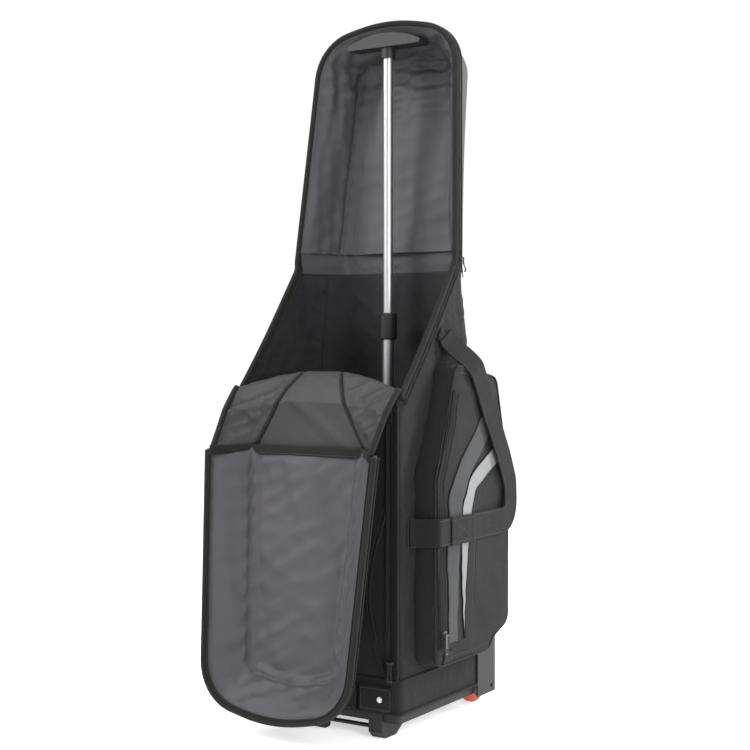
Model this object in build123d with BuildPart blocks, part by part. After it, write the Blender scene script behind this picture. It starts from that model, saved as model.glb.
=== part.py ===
from build123d import *
import os
from math import cos, radians, sin, tan

os.makedirs("parts", exist_ok=True)

# Millimetres. X to the case's left-hand side seen from behind, -Y to the front, +Z up, floor at Z = 0.

# soft body
case_half_width = 175.0
case_front = -185.0
body_floor = 30.0
skirt_bottom = 45.0
skirt_top = 104.0
shoulder_height = 660.0
belt_bottom = 811.0
hood_bottom = 850.0
back_at_floor = 160.0
back_at_shoulder = 114.0
back_at_hood = 112.0
front_corner_radius = 10.0
back_corner_radius = 30.0
fabric_wall = 4.0
side_seam = 70.0

# diagonal mouth between the front panel and the hood
mouth_bottom = 585.0
mouth_knee_back = -103.0
mouth_knee_height = 681.0
hood_rim_foot = 820.0
binding_depth = 5.0
binding_clear = 0.2
binding_reach = 2.5
binding_lap = 2.0

# hard hood and lid, drawn in the leaning rim plane
rim_lean = 6.1
arch_foot_half = case_half_width + 2
arch_shoulder_half = arch_foot_half - 26
arch_rise = 472.0
arch_shoulder_rise = arch_rise - 32
arch_corner_radius = 85.0
arch_crown_radius = 300.0
arch_tail = 90.0
hood_depth = 110.0
hood_inset = 60.0
hood_edge = 34.0
lid_depth = 72.0
lid_inset = 72.0
lid_edge = 16.0
shell_wall = 3.0
lining_wall = 3.0
rim_gap = 1.0
lid_cut = 830.0

# fabric fold between the body and the lid
hinge_back = -135.0
hinge_height = 660.0
flap_wall = 2.5
flap_panel = -200.0
flap_half_at_lid = arch_foot_half - 65
flap_half_at_bend = flap_half_at_lid - 40
flap_bend_height = 585.0
flap_top_height = 645.0
flap_top_back = -163.0
flap_rim_half = arch_foot_half - 13
flap_rim_front = -264.0
rise_top_height = 640.0
rise_top_back = -150.0

# zips
zip_offset = case_half_width - 15
zip_seam = 4.0
tape_width = 18.0
tape_wall = 1.2
chain_width = 6.0
chain_wall = 1.4
slider_gap = 0.4
slider_width = 12.0
slider_length = 22.0
slider_depth = 5.0
lug_wall = 1.6
bail_radius = 1.1
bail_clearance = 0.08
puller_width = 8.0
puller_length = 34.0
puller_wall = 2.0
puller_eye = 1.2
main_slider_height = 572.0
lower_slider_height = 132.0
pocket_slider_height = 172.0

# side pockets
pocket_face = case_half_width + 41
pocket_front = -136.0
pocket_bottom = 118.0
pocket_bend_height = 440.0
pocket_top_front = -62.0
pocket_top = 642.0
pocket_back = 138.0
pocket_back_top = 92.0
pocket_corner = 26.0
pocket_edge = 8.0
pocket_wall = 3.0
trim_wall = 1.2
stripe_width = 20.0
grey_width = 34.0
zip_inset = 19.0

# carrying loops
webbing_width = 48.0
webbing_wall = 3.5
loop_axis_x = case_half_width + 5.6
loop_low_back = -164.0
loop_low_height = 352.0
loop_high_back = -40.0
loop_high_height = 690.0
loop_turn_back = 125.0
loop_turn_height = 420.0
loop_turn_radius = 30.0
loop_face = pocket_face + 5
loop_lift = 13.0
patch_wall = 3.0

# front grab handle
grab_half = 90.0
grab_width = 46.0
grab_wall = 3.5
grab_bulge = 16.0
grab_axis_back = -193.0
grab_height = 68.0
plate_outer = case_half_width - 11
plate_gap = 1.5
rivet_radius = 5.0
rivet_rise = 2.0

# neck rings
neck_half_width = case_half_width - 28.6
neck_corner_in = 46.6
neck_corner_length = 96.4
ring_back = 76.0
ring_height = 812.0
ring_half = 13.0
ring_wire = 2.0
ring_clearance = 0.08
tab_width = 19.0
tab_wall = 2.5
tab_top = 845.0
ring_stand_off = 5.2

# running gear
wheel_x = case_half_width - 38
wheel_back = 136.0
wheel_radius = 36.0
wheel_width = 24.0
hub_radius = wheel_radius - 14
axle_radius = 4.0
running_clearance = 0.05
well_gap = 3.0
well_wall = 4.0
cover_wall = 3.0
cover_outer = case_half_width + 4
cover_inner = cover_outer - 71
cover_front = wheel_back - wheel_radius - 18
cover_back = wheel_back + wheel_radius + 4
cover_top = 2 * wheel_radius + 66
cover_bottom = 24.0
cover_corner = 34.0
cover_brow = 12.0

# tray seat
seat_middle = -60.0
seat_width = 300.0
seat_length = 180.0
seat_rise = 1.5
tray_floor = body_floor + fabric_wall

# feet
foot_x = case_half_width - 50
foot_width = 27.0
foot_tail = -92.0
foot_lip = 43.0
rod_radius = 3.75
rod_back = -166.0
rod_height = 16.0
centre_foot_width = 25.0

# support pole
pole_back = 56.0
pole_radius = 9.5
sleeve_radius = pole_radius + 1.5
tube_wall = 1.2
socket_radius = sleeve_radius + 12
socket_height = 52.0
sleeve_top = 700.0
pole_overlap = 220.0
pole_top = hood_rim_foot + arch_rise - 51
head_half = 81.0
head_top = pole_top + 21
head_edge = pole_top + 2
head_bottom = pole_top - 5
head_half_depth = 18.0
head_collar_radius = pole_radius + 4.5
head_collar_drop = 20.0
lock_radius = sleeve_radius + 6
lock_bottom = 684.0
lock_top = 734.0

far = 600.0
rim_slope = tan(radians(rim_lean))
# depth behind the rim plane and how far the outline has drawn in by then
hood_profile = (
    (binding_depth, 0),
    (hood_depth - hood_edge, hood_inset * 0.45),
    (hood_depth - hood_edge * 0.4, hood_inset * 0.65),
    (hood_depth, hood_inset),
)
lid_profile = (
    (binding_depth + rim_gap, 0),
    (lid_depth - lid_edge, lid_inset * 0.68),
    (lid_depth, lid_inset),
)
rim_plane = Plane(
    origin=(0, 0, hood_rim_foot),
    x_dir=(-1, 0, 0),
    z_dir=(0, cos(radians(rim_lean)), -sin(radians(rim_lean))),
)
hinge_line = Axis((0, hinge_back, hinge_height), (1, 0, 0))


def keep(block, label):
    block.part.label = label
    export_step(block.part, "parts/" + label + ".step")


def mirrored(block):
    with BuildPart() as twin:
        mirror(block.part, about=Plane.YZ)
    return twin


def turned_open(block):
    with BuildPart() as turned:
        add(block.part.rotate(hinge_line, 180))
    return turned


def keep_pair(block, label):
    keep(block, label + "_right")
    keep(mirrored(block), label + "_left")


# body shell

def body_section(height, back, corner_in, corner_length, inset):
    with BuildSketch(Plane.XY.offset(height)) as section:
        with BuildLine():
            Polyline(
                (-case_half_width, case_front),
                (case_half_width, case_front),
                (case_half_width, back - corner_length),
                (case_half_width - corner_in, back),
                (corner_in - case_half_width, back),
                (-case_half_width, back - corner_length),
                close=True,
            )
        make_face()
        if inset:
            offset(amount=-inset, kind=Kind.INTERSECTION, mode=Mode.REPLACE)
        front = section.vertices().sort_by(Axis.Y)[:2]
        fillet(front, front_corner_radius - inset)
        behind = section.vertices().sort_by(Axis.Y)[-4:]
        fillet(behind, back_corner_radius - inset)
    return section.sketch


def body_block(inset):
    levels = (
        (body_floor, back_at_floor, 40.0, 45.0),
        (shoulder_height, back_at_shoulder, 45.0, 62.0),
        (hood_bottom, back_at_hood, 47.0, 105.0),
    )
    with BuildPart() as block:
        for height, back, corner_in, corner_length in levels:
            add(body_section(height, back, corner_in, corner_length, inset))
        loft(ruled=True)
    return block


# mouth line seen from the side, shifted towards the back
def mouth_points(shift):
    return [
        (case_front + shift, mouth_bottom),
        (mouth_knee_back + shift, mouth_knee_height),
        (shift, hood_rim_foot),
        (shift + (hood_bottom - hood_rim_foot) * rim_slope, hood_bottom),
    ]


with BuildPart() as mouth_cut:
    with BuildSketch(Plane.YZ):
        with BuildLine():
            Polyline(
                (case_front - 20, mouth_bottom),
                *mouth_points(binding_depth + binding_clear),
                (binding_depth + binding_clear + 50 * rim_slope, hood_bottom + 20),
                (case_front - 20, hood_bottom + 20),
                close=True,
            )
        make_face()
    extrude(amount=far / 2, both=True)


# corner block that carries a wheel; shrink leaves out its outside, back and top walls
def corner_cover(shrink):
    low_x = cover_inner - shrink
    high_x = cover_outer - shrink
    low_y = cover_front - shrink
    high_y = cover_back - shrink
    with BuildPart() as cover:
        with BuildSketch(Plane.XY.offset(cover_bottom - shrink)):
            with Locations(((low_x + high_x) / 2, (low_y + high_y) / 2)):
                Rectangle(high_x - low_x, high_y - low_y)
        extrude(amount=cover_top - cover_bottom)
        upright = cover.edges().filter_by(Axis.Z)
        fillet(upright.sort_by(Axis.X)[-2:].sort_by(Axis.Y)[-1], cover_corner - shrink)
        top = cover.faces().sort_by(Axis.Z)[-1].edges()
        fillet(top.filter_by(lambda edge: edge.center().X > low_x + 1), cover_brow - shrink)
    return cover


cover_block = corner_cover(0)
cover_room = corner_cover(cover_wall)
body_outer = body_block(0)
body_inner = body_block(fabric_wall)
tray_inner = body_block(2 * fabric_wall)

with BuildPart() as body_wall:
    add(body_outer.part)
    add(body_inner.part, mode=Mode.SUBTRACT)
    add(mouth_cut.part, mode=Mode.SUBTRACT)
    add(cover_block.part, mode=Mode.SUBTRACT)
    mirror(cover_block.part, about=Plane.YZ, mode=Mode.SUBTRACT)


def slice_box(x_low, x_high, y_low, y_high, z_low, z_high):
    with BuildPart() as box:
        with Locations(((x_low + x_high) / 2, (y_low + y_high) / 2, (z_low + z_high) / 2)):
            Box(x_high - x_low, y_high - y_low, z_high - z_low)
    return box.part


def wall_piece(*limits):
    with BuildPart() as piece:
        add(body_wall.part)
        add(slice_box(*limits), mode=Mode.INTERSECT)
    return piece


base_skirt = wall_piece(-far, far, -far, far, skirt_bottom, skirt_top)
keep(base_skirt, "base_skirt")

panel_half = zip_offset - zip_seam / 2
front_panel = wall_piece(-panel_half, panel_half, -far, case_front + 12, skirt_top, mouth_bottom)
keep(front_panel, "front_panel")

with BuildPart() as side_panel_right:
    add(body_wall.part)
    add(slice_box(0, far, -far, side_seam, skirt_top, belt_bottom), mode=Mode.INTERSECT)
    add(
        slice_box(0, zip_offset + zip_seam / 2, -far, case_front + 12, 0, far * 2),
        mode=Mode.SUBTRACT,
    )
keep_pair(side_panel_right, "side_panel")

back_panel = wall_piece(-far, far, side_seam, far, skirt_top, belt_bottom)
keep(back_panel, "back_panel")

neck_band = wall_piece(-far, far, -far, far, belt_bottom, hood_bottom)
keep(neck_band, "neck_band")

with BuildPart() as base_tray:
    add(body_inner.part)
    add(slice_box(-far, far, -far, far, 0, skirt_bottom + 20), mode=Mode.INTERSECT)
    with BuildPart(mode=Mode.PRIVATE) as tray_room:
        add(tray_inner.part)
        add(slice_box(-far, far, -far, far, body_floor + fabric_wall, far), mode=Mode.INTERSECT)
    add(tray_room.part, mode=Mode.SUBTRACT)
    add(cover_block.part, mode=Mode.SUBTRACT)
    mirror(cover_block.part, about=Plane.YZ, mode=Mode.SUBTRACT)
    with Locations((0, seat_middle, tray_floor)):
        Box(seat_width, seat_length, seat_rise, align=(Align.CENTER, Align.CENTER, Align.MIN))
keep(base_tray, "base_tray")

# hood and lid

def arch_outline(plane, grow):
    with BuildSketch(plane) as outline:
        with BuildLine():
            Polyline(
                (-arch_foot_half, -arch_tail),
                (arch_foot_half, -arch_tail),
                (arch_foot_half, 10),
                (arch_shoulder_half, arch_shoulder_rise),
                (0, arch_rise),
                (-arch_shoulder_half, arch_shoulder_rise),
                (-arch_foot_half, 10),
                close=True,
            )
        make_face()
        crown = outline.vertices().sort_by(Axis.Y)[-1]
        fillet(crown, arch_crown_radius)
        shoulders = outline.vertices().filter_by(lambda corner: abs(corner.X) > arch_shoulder_half - 1)
        fillet(shoulders.sort_by(Axis.Y)[-2:], arch_corner_radius)
        if grow:
            offset(amount=grow, kind=Kind.INTERSECTION, mode=Mode.REPLACE)
    return outline.sketch


# drafted dish behind (toward = 1) or in front (toward = -1) of the rim plane
def dish(toward, profile, shrink, cut_height):
    away = rim_plane.z_dir * toward
    with BuildPart() as block:
        for depth, inset in profile:
            if depth == profile[-1][0]:
                depth = depth - shrink
            level = Plane(rim_plane.origin + away * depth, rim_plane.x_dir * toward, away)
            add(arch_outline(level, -inset - shrink))
        loft(ruled=True)
        add(slice_box(-far, far, -far, far, cut_height, far * 3), mode=Mode.INTERSECT)
    return block


def shell_of(outer, inner):
    with BuildPart() as shell:
        add(outer.part)
        add(inner.part, mode=Mode.SUBTRACT)
    return shell


# raised band around the mouth of a dish, from one depth to another
def rim_band(toward, start, end, low):
    away = rim_plane.z_dir * toward
    level = Plane(rim_plane.origin + away * start, rim_plane.x_dir * toward, away)
    with BuildPart() as band:
        extrude(arch_outline(level, binding_reach), amount=end - start)
        inner = arch_outline(level, -shell_wall - lining_wall - binding_lap)
        extrude(inner, amount=end - start, mode=Mode.SUBTRACT)
        add(slice_box(-far, far, -far, far, low, far * 3), mode=Mode.INTERSECT)
    return band


hood_outer = dish(1, hood_profile, 0, hood_bottom)
hood_middle = dish(1, hood_profile, shell_wall, hood_bottom)
hood_room = dish(1, hood_profile, shell_wall + lining_wall, hood_bottom)
hood_shell = shell_of(hood_outer, hood_middle)
keep(hood_shell, "hood_shell")
hood_lining = shell_of(hood_middle, hood_room)
keep(hood_lining, "hood_lining")

with BuildPart() as rim_binding:
    add(rim_band(1, 0, binding_depth, hood_rim_foot).part)
    for side in (1, -1):
        with BuildSketch(Plane.YZ.offset(side * (arch_foot_half + binding_reach))):
            with BuildLine():
                Polyline(
                    *mouth_points(0)[:3],
                    *reversed(mouth_points(binding_depth)[:3]),
                    close=True,
                )
            make_face()
        extrude(amount=-side * (shell_wall + lining_wall + binding_lap + binding_reach))
keep(rim_binding, "rim_binding")

lid_outer = dish(-1, lid_profile, 0, lid_cut)
lid_middle = dish(-1, lid_profile, shell_wall, lid_cut)
lid_room = dish(-1, lid_profile, shell_wall + lining_wall, lid_cut)
lid_shell = turned_open(shell_of(lid_outer, lid_middle))
keep(lid_shell, "lid_shell")
lid_lining = turned_open(shell_of(lid_middle, lid_room))
keep(lid_lining, "lid_lining")
lid_binding = turned_open(rim_band(-1, rim_gap, rim_gap + binding_depth, lid_cut))
keep(lid_binding, "lid_binding")

# fabric fold

lid_edge_open = 2 * hinge_height - lid_cut


def fold_block(inset):
    levels = (
        (lid_edge_open, flap_rim_half, flap_rim_front, flap_half_at_lid),
        (flap_bend_height, flap_half_at_bend + 44, flap_panel - 6, flap_half_at_bend),
    )
    with BuildPart() as block:
        for height, rim_half, rim_front, panel in levels:
            with BuildSketch(Plane.XY.offset(height)):
                with BuildLine():
                    Polyline(
                        (inset - rim_half, rim_front),
                        (rim_half - inset, rim_front),
                        (panel - inset, flap_panel - inset),
                        (inset - panel, flap_panel - inset),
                        close=True,
                    )
                make_face()
        loft(ruled=True)
    return block


with BuildPart() as lid_fold:
    add(fold_block(0).part)
    add(fold_block(flap_wall).part, mode=Mode.SUBTRACT)
    with BuildSketch(Plane.YZ):
        with BuildLine():
            Polyline(
                (flap_panel, flap_bend_height),
                (flap_top_back, flap_top_height),
                (flap_top_back - flap_wall, flap_top_height),
                (flap_panel - flap_wall, flap_bend_height),
                close=True,
            )
        make_face()
    extrude(amount=flap_half_at_bend, both=True)
keep(lid_fold, "lid_fold")

with BuildPart() as body_fold:
    with BuildSketch(Plane.YZ):
        with BuildLine():
            Polyline(
                (case_front, mouth_bottom),
                (rise_top_back, rise_top_height),
                (rise_top_back + fabric_wall, rise_top_height),
                (case_front + fabric_wall, mouth_bottom),
                close=True,
            )
        make_face()
    extrude(amount=panel_half, both=True)
keep(body_fold, "body_fold")

# zips

with BuildPart() as main_zips:
    for side in (1, -1):
        with Locations((side * zip_offset, case_front, (skirt_top + mouth_bottom) / 2)):
            Box(
                tape_width, tape_wall, mouth_bottom - skirt_top,
                align=(Align.CENTER, Align.MAX, Align.CENTER),
            )
        with Locations((side * zip_offset, case_front - tape_wall, (skirt_top + mouth_bottom) / 2)):
            Box(
                chain_width, chain_wall, mouth_bottom - skirt_top,
                align=(Align.CENTER, Align.MAX, Align.CENTER),
            )
keep(main_zips, "main_zips")

bail_rise = slider_depth + bail_radius + puller_eye + slider_gap
bail_drop = slider_length * 0.18


# slider on a chain; x across the chain, y along it upwards, z away from the cloth
def slider_on(plane):
    with BuildPart(plane) as slider:
        with Locations((0, 0, slider_gap)):
            Box(
                slider_width, slider_length, slider_depth - slider_gap,
                align=(Align.CENTER, Align.CENTER, Align.MIN),
            )
        fillet(slider.edges().filter_by(lambda edge: edge.length < slider_depth), 1.5)
        lug_x = puller_width / 2 + lug_wall / 2 + 0.5
        with Locations((lug_x, bail_drop, slider_depth), (-lug_x, bail_drop, slider_depth)):
            Box(
                lug_wall, 4, bail_rise - slider_depth + 2,
                align=(Align.CENTER, Align.CENTER, Align.MIN),
            )
        with Locations((0, bail_drop, bail_rise)):
            Cylinder(bail_radius, 2 * lug_x, rotation=(0, 90, 0))
    return slider


def puller_on(plane):
    with BuildPart(plane) as puller:
        with Locations((0, bail_drop, bail_rise)):
            Box(
                puller_width, puller_length, puller_wall,
                align=(Align.CENTER, Align.MAX, Align.CENTER),
            )
            Cylinder(bail_radius + puller_eye, puller_width, rotation=(0, 90, 0))
            Cylinder(
                bail_radius + bail_clearance, puller_width + 2,
                rotation=(0, 90, 0), mode=Mode.SUBTRACT,
            )
        with Locations((0, bail_drop - puller_length + 8, bail_rise)):
            Box(puller_width * 0.45, 8, puller_wall * 2, mode=Mode.SUBTRACT)
    return puller


def front_chain(height):
    face = case_front - tape_wall - chain_wall
    return Plane(origin=(zip_offset, face, height), x_dir=(1, 0, 0), z_dir=(0, -1, 0))


keep_pair(slider_on(front_chain(main_slider_height)), "main_slider")
keep_pair(puller_on(front_chain(main_slider_height)), "main_puller")
keep_pair(slider_on(front_chain(lower_slider_height)), "lower_slider")
keep_pair(puller_on(front_chain(lower_slider_height)), "lower_puller")

# side pockets

def pocket_block(shrink):
    with BuildPart() as block:
        with BuildSketch(Plane.YZ.offset(case_half_width * 0.6)) as profile:
            with BuildLine():
                Polyline(
                    (pocket_front, pocket_bottom),
                    (pocket_front, pocket_bend_height),
                    (pocket_top_front, pocket_top),
                    (pocket_back_top, pocket_top - 26),
                    (pocket_back, pocket_bend_height),
                    (pocket_back, cover_top + 22),
                    (cover_front - 4, pocket_bottom + 20),
                    (cover_front - 22, pocket_bottom),
                    close=True,
                )
            make_face()
            fillet(profile.vertices(), pocket_corner)
            if shrink:
                offset(amount=-shrink, mode=Mode.REPLACE)
        extrude(amount=pocket_face - case_half_width * 0.6 - shrink)
        rim = block.faces().sort_by(Axis.X)[-1].edges()
        fillet(rim, pocket_edge - shrink)
    return block


with BuildPart() as pocket_right:
    add(pocket_block(0).part)
    add(pocket_block(pocket_wall).part, mode=Mode.SUBTRACT)
    add(body_outer.part, mode=Mode.SUBTRACT)
    add(cover_block.part, mode=Mode.SUBTRACT)
keep_pair(pocket_right, "pocket")

pocket_plane = Plane.YZ.offset(pocket_face)
zip_straight = pocket_front + zip_inset


def pocket_band(points, width, wall):
    with BuildPart() as band:
        with BuildSketch(pocket_plane):
            with BuildLine():
                FilletPolyline(*points, radius=40)
            trace(line_width=width)
        extrude(amount=wall)
    return band


zip_path = (
    (zip_straight, pocket_bottom + 34),
    (zip_straight, pocket_bend_height - 4),
    (pocket_top_front - 4, pocket_top - 50),
)
with BuildPart() as pocket_zip_right:
    add(pocket_band(zip_path, tape_width * 0.8, tape_wall).part)
    add(pocket_band(zip_path, chain_width, tape_wall + chain_wall).part)

with BuildPart() as pocket_zips:
    add(pocket_zip_right.part)
    mirror(pocket_zip_right.part, about=Plane.YZ)
keep(pocket_zips, "pocket_zips")

stripe_path = (
    (-54, pocket_bottom + 40),
    (-45, 385),
    (-14, 432),
    (pocket_back - 32, 492),
)
grey_path = (
    (-82, pocket_bottom + 40),
    (-74, 405),
    (-34, 462),
    (pocket_back_top - 30, 545),
)
pocket_stripe = pocket_band(stripe_path, stripe_width, trim_wall)
keep_pair(pocket_stripe, "pocket_stripe")

with BuildPart() as pocket_panel:
    add(pocket_band(grey_path, grey_width, trim_wall).part)
    add(pocket_stripe.part, mode=Mode.SUBTRACT)
    add(pocket_zip_right.part, mode=Mode.SUBTRACT)
keep_pair(pocket_panel, "pocket_panel")

pocket_chain = Plane(
    origin=(pocket_face + tape_wall + chain_wall, zip_straight, pocket_slider_height),
    x_dir=(0, 1, 0),
    z_dir=(1, 0, 0),
)
keep_pair(slider_on(pocket_chain), "pocket_slider")
keep_pair(puller_on(pocket_chain), "pocket_puller")

# carrying loops

loop_span = Vector(0, loop_high_back - loop_low_back, loop_high_height - loop_low_height)
loop_along = loop_span.normalized()
loop_away = Vector(0, loop_along.Z, -loop_along.Y)
loop_plane = Plane(
    origin=(loop_axis_x, loop_low_back, loop_low_height),
    x_dir=loop_away,
    z_dir=loop_along,
)
loop_rise = loop_face + webbing_wall / 2 - loop_axis_x

with BuildPart() as side_strap:
    with BuildSketch(loop_plane.offset(-120)):
        with BuildLine():
            Polyline((0, 0), (loop_lift, -loop_rise), (420, -loop_rise))
        trace(line_width=webbing_wall)
    extrude(amount=640)
    with BuildSketch(Plane.YZ.offset(case_half_width)) as loop_shape:
        with BuildLine():
            FilletPolyline(
                (loop_high_back, loop_high_height),
                (loop_turn_back - 42, loop_turn_height + 68),
                (loop_turn_back, loop_turn_height),
                (loop_turn_back, loop_low_height),
                (loop_low_back, loop_low_height),
                radius=loop_turn_radius,
            )
        trace(line_width=webbing_width)
    extrude(amount=60, mode=Mode.INTERSECT)
keep_pair(side_strap, "side_strap")

patch_length = 24.0
with BuildPart() as patch_pair:
    with Locations((case_half_width, loop_low_back + patch_length / 2 - 4, loop_low_height)):
        Box(
            patch_wall, patch_length, webbing_width + 4,
            align=(Align.MIN, Align.CENTER, Align.CENTER),
        )
    with Locations(
        Plane(
            origin=(case_half_width, loop_high_back + 6, loop_high_height - 10),
            x_dir=(1, 0, 0),
            z_dir=(0, -0.53, -0.85),
        )
    ):
        Box(
            patch_wall, webbing_width + 4, patch_length,
            align=(Align.MIN, Align.CENTER, Align.CENTER),
        )

with BuildPart() as strap_patches:
    add(patch_pair.part)
    mirror(patch_pair.part, about=Plane.YZ)
keep(strap_patches, "strap_patches")

# front grab handle

with BuildPart() as grab_handle:
    with BuildSketch(Plane.XY.offset(grab_height - grab_width / 2)):
        with BuildLine():
            Polyline(
                (-grab_half, grab_axis_back),
                (-grab_half * 0.45, grab_axis_back - grab_bulge),
                (grab_half * 0.45, grab_axis_back - grab_bulge),
                (grab_half, grab_axis_back),
            )
        trace(line_width=grab_wall)
    extrude(amount=grab_width)
keep(grab_handle, "grab_handle")

plate_length = plate_outer - grab_half - plate_gap
with BuildPart() as grab_plates:
    for side in (1, -1):
        with Locations((side * (plate_outer - plate_length / 2), case_front, grab_height + 2)):
            Box(
                plate_length, grab_wall * 1.6, grab_width,
                align=(Align.CENTER, Align.MAX, Align.CENTER),
            )
    fillet(grab_plates.edges().filter_by(Axis.Y), 5)
keep(grab_plates, "grab_plates")

with BuildPart() as rivets:
    for side in (1, -1):
        with Locations((side * (plate_outer - 26), case_front - grab_wall * 1.6, grab_height + 2)):
            Cylinder(
                rivet_radius, rivet_rise, rotation=(90, 0, 0),
                align=(Align.CENTER, Align.CENTER, Align.MIN),
            )
keep(rivets, "rivets")

# neck rings

neck_face = Plane(
    origin=(neck_half_width, ring_back, ring_height),
    x_dir=(-neck_corner_in, neck_corner_length, 0),
    z_dir=(neck_corner_length, neck_corner_in, 0),
)
ring_face = neck_face.offset(ring_stand_off)

def ring_arc():
    with BuildPart() as arc:
        with Locations(ring_face.location):
            Torus(ring_half, ring_wire)
            Box(
                4 * ring_half, 2 * ring_half, 4 * ring_wire,
                align=(Align.CENTER, Align.MIN, Align.CENTER), mode=Mode.SUBTRACT,
            )
            Cylinder(ring_wire, 2 * ring_half, rotation=(0, 90, 0))
            with Locations((ring_half, 0, 0), (-ring_half, 0, 0)):
                Sphere(ring_wire)
    return arc


neck_ring = ring_arc()
keep_pair(neck_ring, "neck_ring")

with BuildPart() as neck_tab:
    with Locations(neck_face.location):
        with Locations((0, 6, 0.4)):
            Box(
                tab_width, tab_top - ring_height - 6, tab_wall,
                align=(Align.CENTER, Align.MIN, Align.MIN),
            )
        with Locations((0, 2.2, 0.4)):
            Box(
                tab_width, 9, ring_stand_off + ring_wire + 1.4,
                align=(Align.CENTER, Align.CENTER, Align.MIN),
            )
    with Locations(ring_face.location):
        Cylinder(
            ring_wire + ring_clearance, tab_width + 4, rotation=(0, 90, 0), mode=Mode.SUBTRACT
        )

with BuildPart() as neck_tabs:
    add(neck_tab.part)
    mirror(neck_tab.part, about=Plane.YZ)
keep(neck_tabs, "neck_tabs")

# wheels and housings

well_half = wheel_width / 2 + well_gap
well_radius = wheel_radius + well_gap
axle_low = wheel_x - well_half - well_wall
axle_high = wheel_x + well_half + well_wall
web_low = wheel_radius + well_radius

with BuildPart() as wheel_housing:
    add(cover_block.part)
    add(cover_room.part, mode=Mode.SUBTRACT)
    with Locations((wheel_x, wheel_back, wheel_radius)):
        Cylinder(well_radius + well_wall, axle_high - axle_low, rotation=(0, 90, 0))
    add(slice_box(cover_inner, cover_outer - 1, cover_front, cover_back - 1, web_low, web_low + well_wall))
    add(cover_block.part, mode=Mode.INTERSECT)
    with Locations((wheel_x, wheel_back, wheel_radius)):
        Cylinder(well_radius, 2 * well_half, rotation=(0, 90, 0), mode=Mode.SUBTRACT)
        Cylinder(axle_radius, far, rotation=(0, 90, 0), mode=Mode.SUBTRACT)
        Box(2 * well_half, 60, 60, align=(Align.CENTER, Align.MIN, Align.MAX), mode=Mode.SUBTRACT)
keep_pair(wheel_housing, "wheel_housing")

with BuildPart() as tyre:
    with Locations((wheel_x, wheel_back, wheel_radius)):
        Cylinder(wheel_radius, wheel_width, rotation=(0, 90, 0))
        fillet(tyre.edges(), 9)
        Cylinder(hub_radius, wheel_width, rotation=(0, 90, 0), mode=Mode.SUBTRACT)
keep_pair(tyre, "tyre")

with BuildPart() as hub:
    with Locations((wheel_x, wheel_back, wheel_radius)):
        Cylinder(hub_radius, wheel_width - 4, rotation=(0, 90, 0))
        Cylinder(axle_radius + running_clearance, wheel_width, rotation=(0, 90, 0), mode=Mode.SUBTRACT)
keep_pair(hub, "hub")

with BuildPart() as axles:
    for side in (1, -1):
        with Locations((side * wheel_x, wheel_back, wheel_radius)):
            Cylinder(axle_radius, axle_high - axle_low, rotation=(0, 90, 0))
keep(axles, "axles")

# feet

with BuildPart() as skid_foot:
    with BuildSketch(Plane.YZ.offset(foot_x - foot_width / 2)):
        with BuildLine():
            Polyline(
                (case_front, foot_lip),
                (case_front, 12),
                (case_front + 12, 0),
                (case_front + 46, 0),
                (foot_tail, body_floor),
                (case_front + fabric_wall, body_floor),
                (case_front + fabric_wall, foot_lip),
                close=True,
            )
        make_face()
    extrude(amount=foot_width)
keep_pair(skid_foot, "skid_foot")

with BuildPart() as cross_rod:
    with Locations((0, rod_back, rod_height)):
        Cylinder(rod_radius, 2 * foot_x - foot_width, rotation=(0, 90, 0))
keep(cross_rod, "cross_rod")

with BuildPart() as centre_foot:
    with Locations((0, rod_back, body_floor)):
        Box(centre_foot_width, 22, body_floor, align=(Align.CENTER, Align.CENTER, Align.MAX))
    fillet(centre_foot.edges().filter_by(Axis.X).group_by(Axis.Z)[0], 6)
    with Locations((0, rod_back, rod_height)):
        Cylinder(rod_radius, far, rotation=(0, 90, 0), mode=Mode.SUBTRACT)
keep(centre_foot, "centre_foot")

# support pole

pole_foot = tray_floor + 8

with BuildPart() as pole_socket:
    with Locations((0, pole_back, tray_floor)):
        Cylinder(socket_radius, socket_height, align=(Align.CENTER, Align.CENTER, Align.MIN))
    fillet(pole_socket.edges().group_by(Axis.Z)[-1], 6)
    with Locations((0, pole_back, pole_foot)):
        Cylinder(
            sleeve_radius, far, align=(Align.CENTER, Align.CENTER, Align.MIN), mode=Mode.SUBTRACT
        )
keep(pole_socket, "pole_socket")


def tube(outer, inner, low, high):
    with BuildPart() as pipe:
        with Locations((0, pole_back, low)):
            Cylinder(outer, high - low, align=(Align.CENTER, Align.CENTER, Align.MIN))
            Cylinder(
                inner, high - low, align=(Align.CENTER, Align.CENTER, Align.MIN),
                mode=Mode.SUBTRACT,
            )
    return pipe


keep(tube(sleeve_radius, pole_radius + running_clearance, pole_foot, sleeve_top), "pole_lower")
pole_low = sleeve_top - pole_overlap
keep(tube(pole_radius, pole_radius - tube_wall, pole_low, pole_top), "pole_upper")

with BuildPart() as pole_head:
    with BuildSketch(Plane.XZ.offset(-pole_back)) as head_shape:
        with BuildLine():
            Polyline(
                (-head_half, head_edge),
                (-head_half + 4, head_bottom),
                (head_half - 4, head_bottom),
                (head_half, head_edge),
            )
            ThreePointArc((head_half, head_edge), (0, head_top), (-head_half, head_edge))
        make_face()
    extrude(amount=head_half_depth, both=True)
    with Locations((0, pole_back, head_bottom)):
        Cylinder(
            head_collar_radius, head_collar_drop, align=(Align.CENTER, Align.CENTER, Align.MAX)
        )
    with Locations((0, pole_back, head_bottom - head_collar_drop)):
        Cylinder(
            pole_radius, pole_top - head_bottom + head_collar_drop,
            align=(Align.CENTER, Align.CENTER, Align.MIN), mode=Mode.SUBTRACT,
        )
keep(pole_head, "pole_head")

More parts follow.
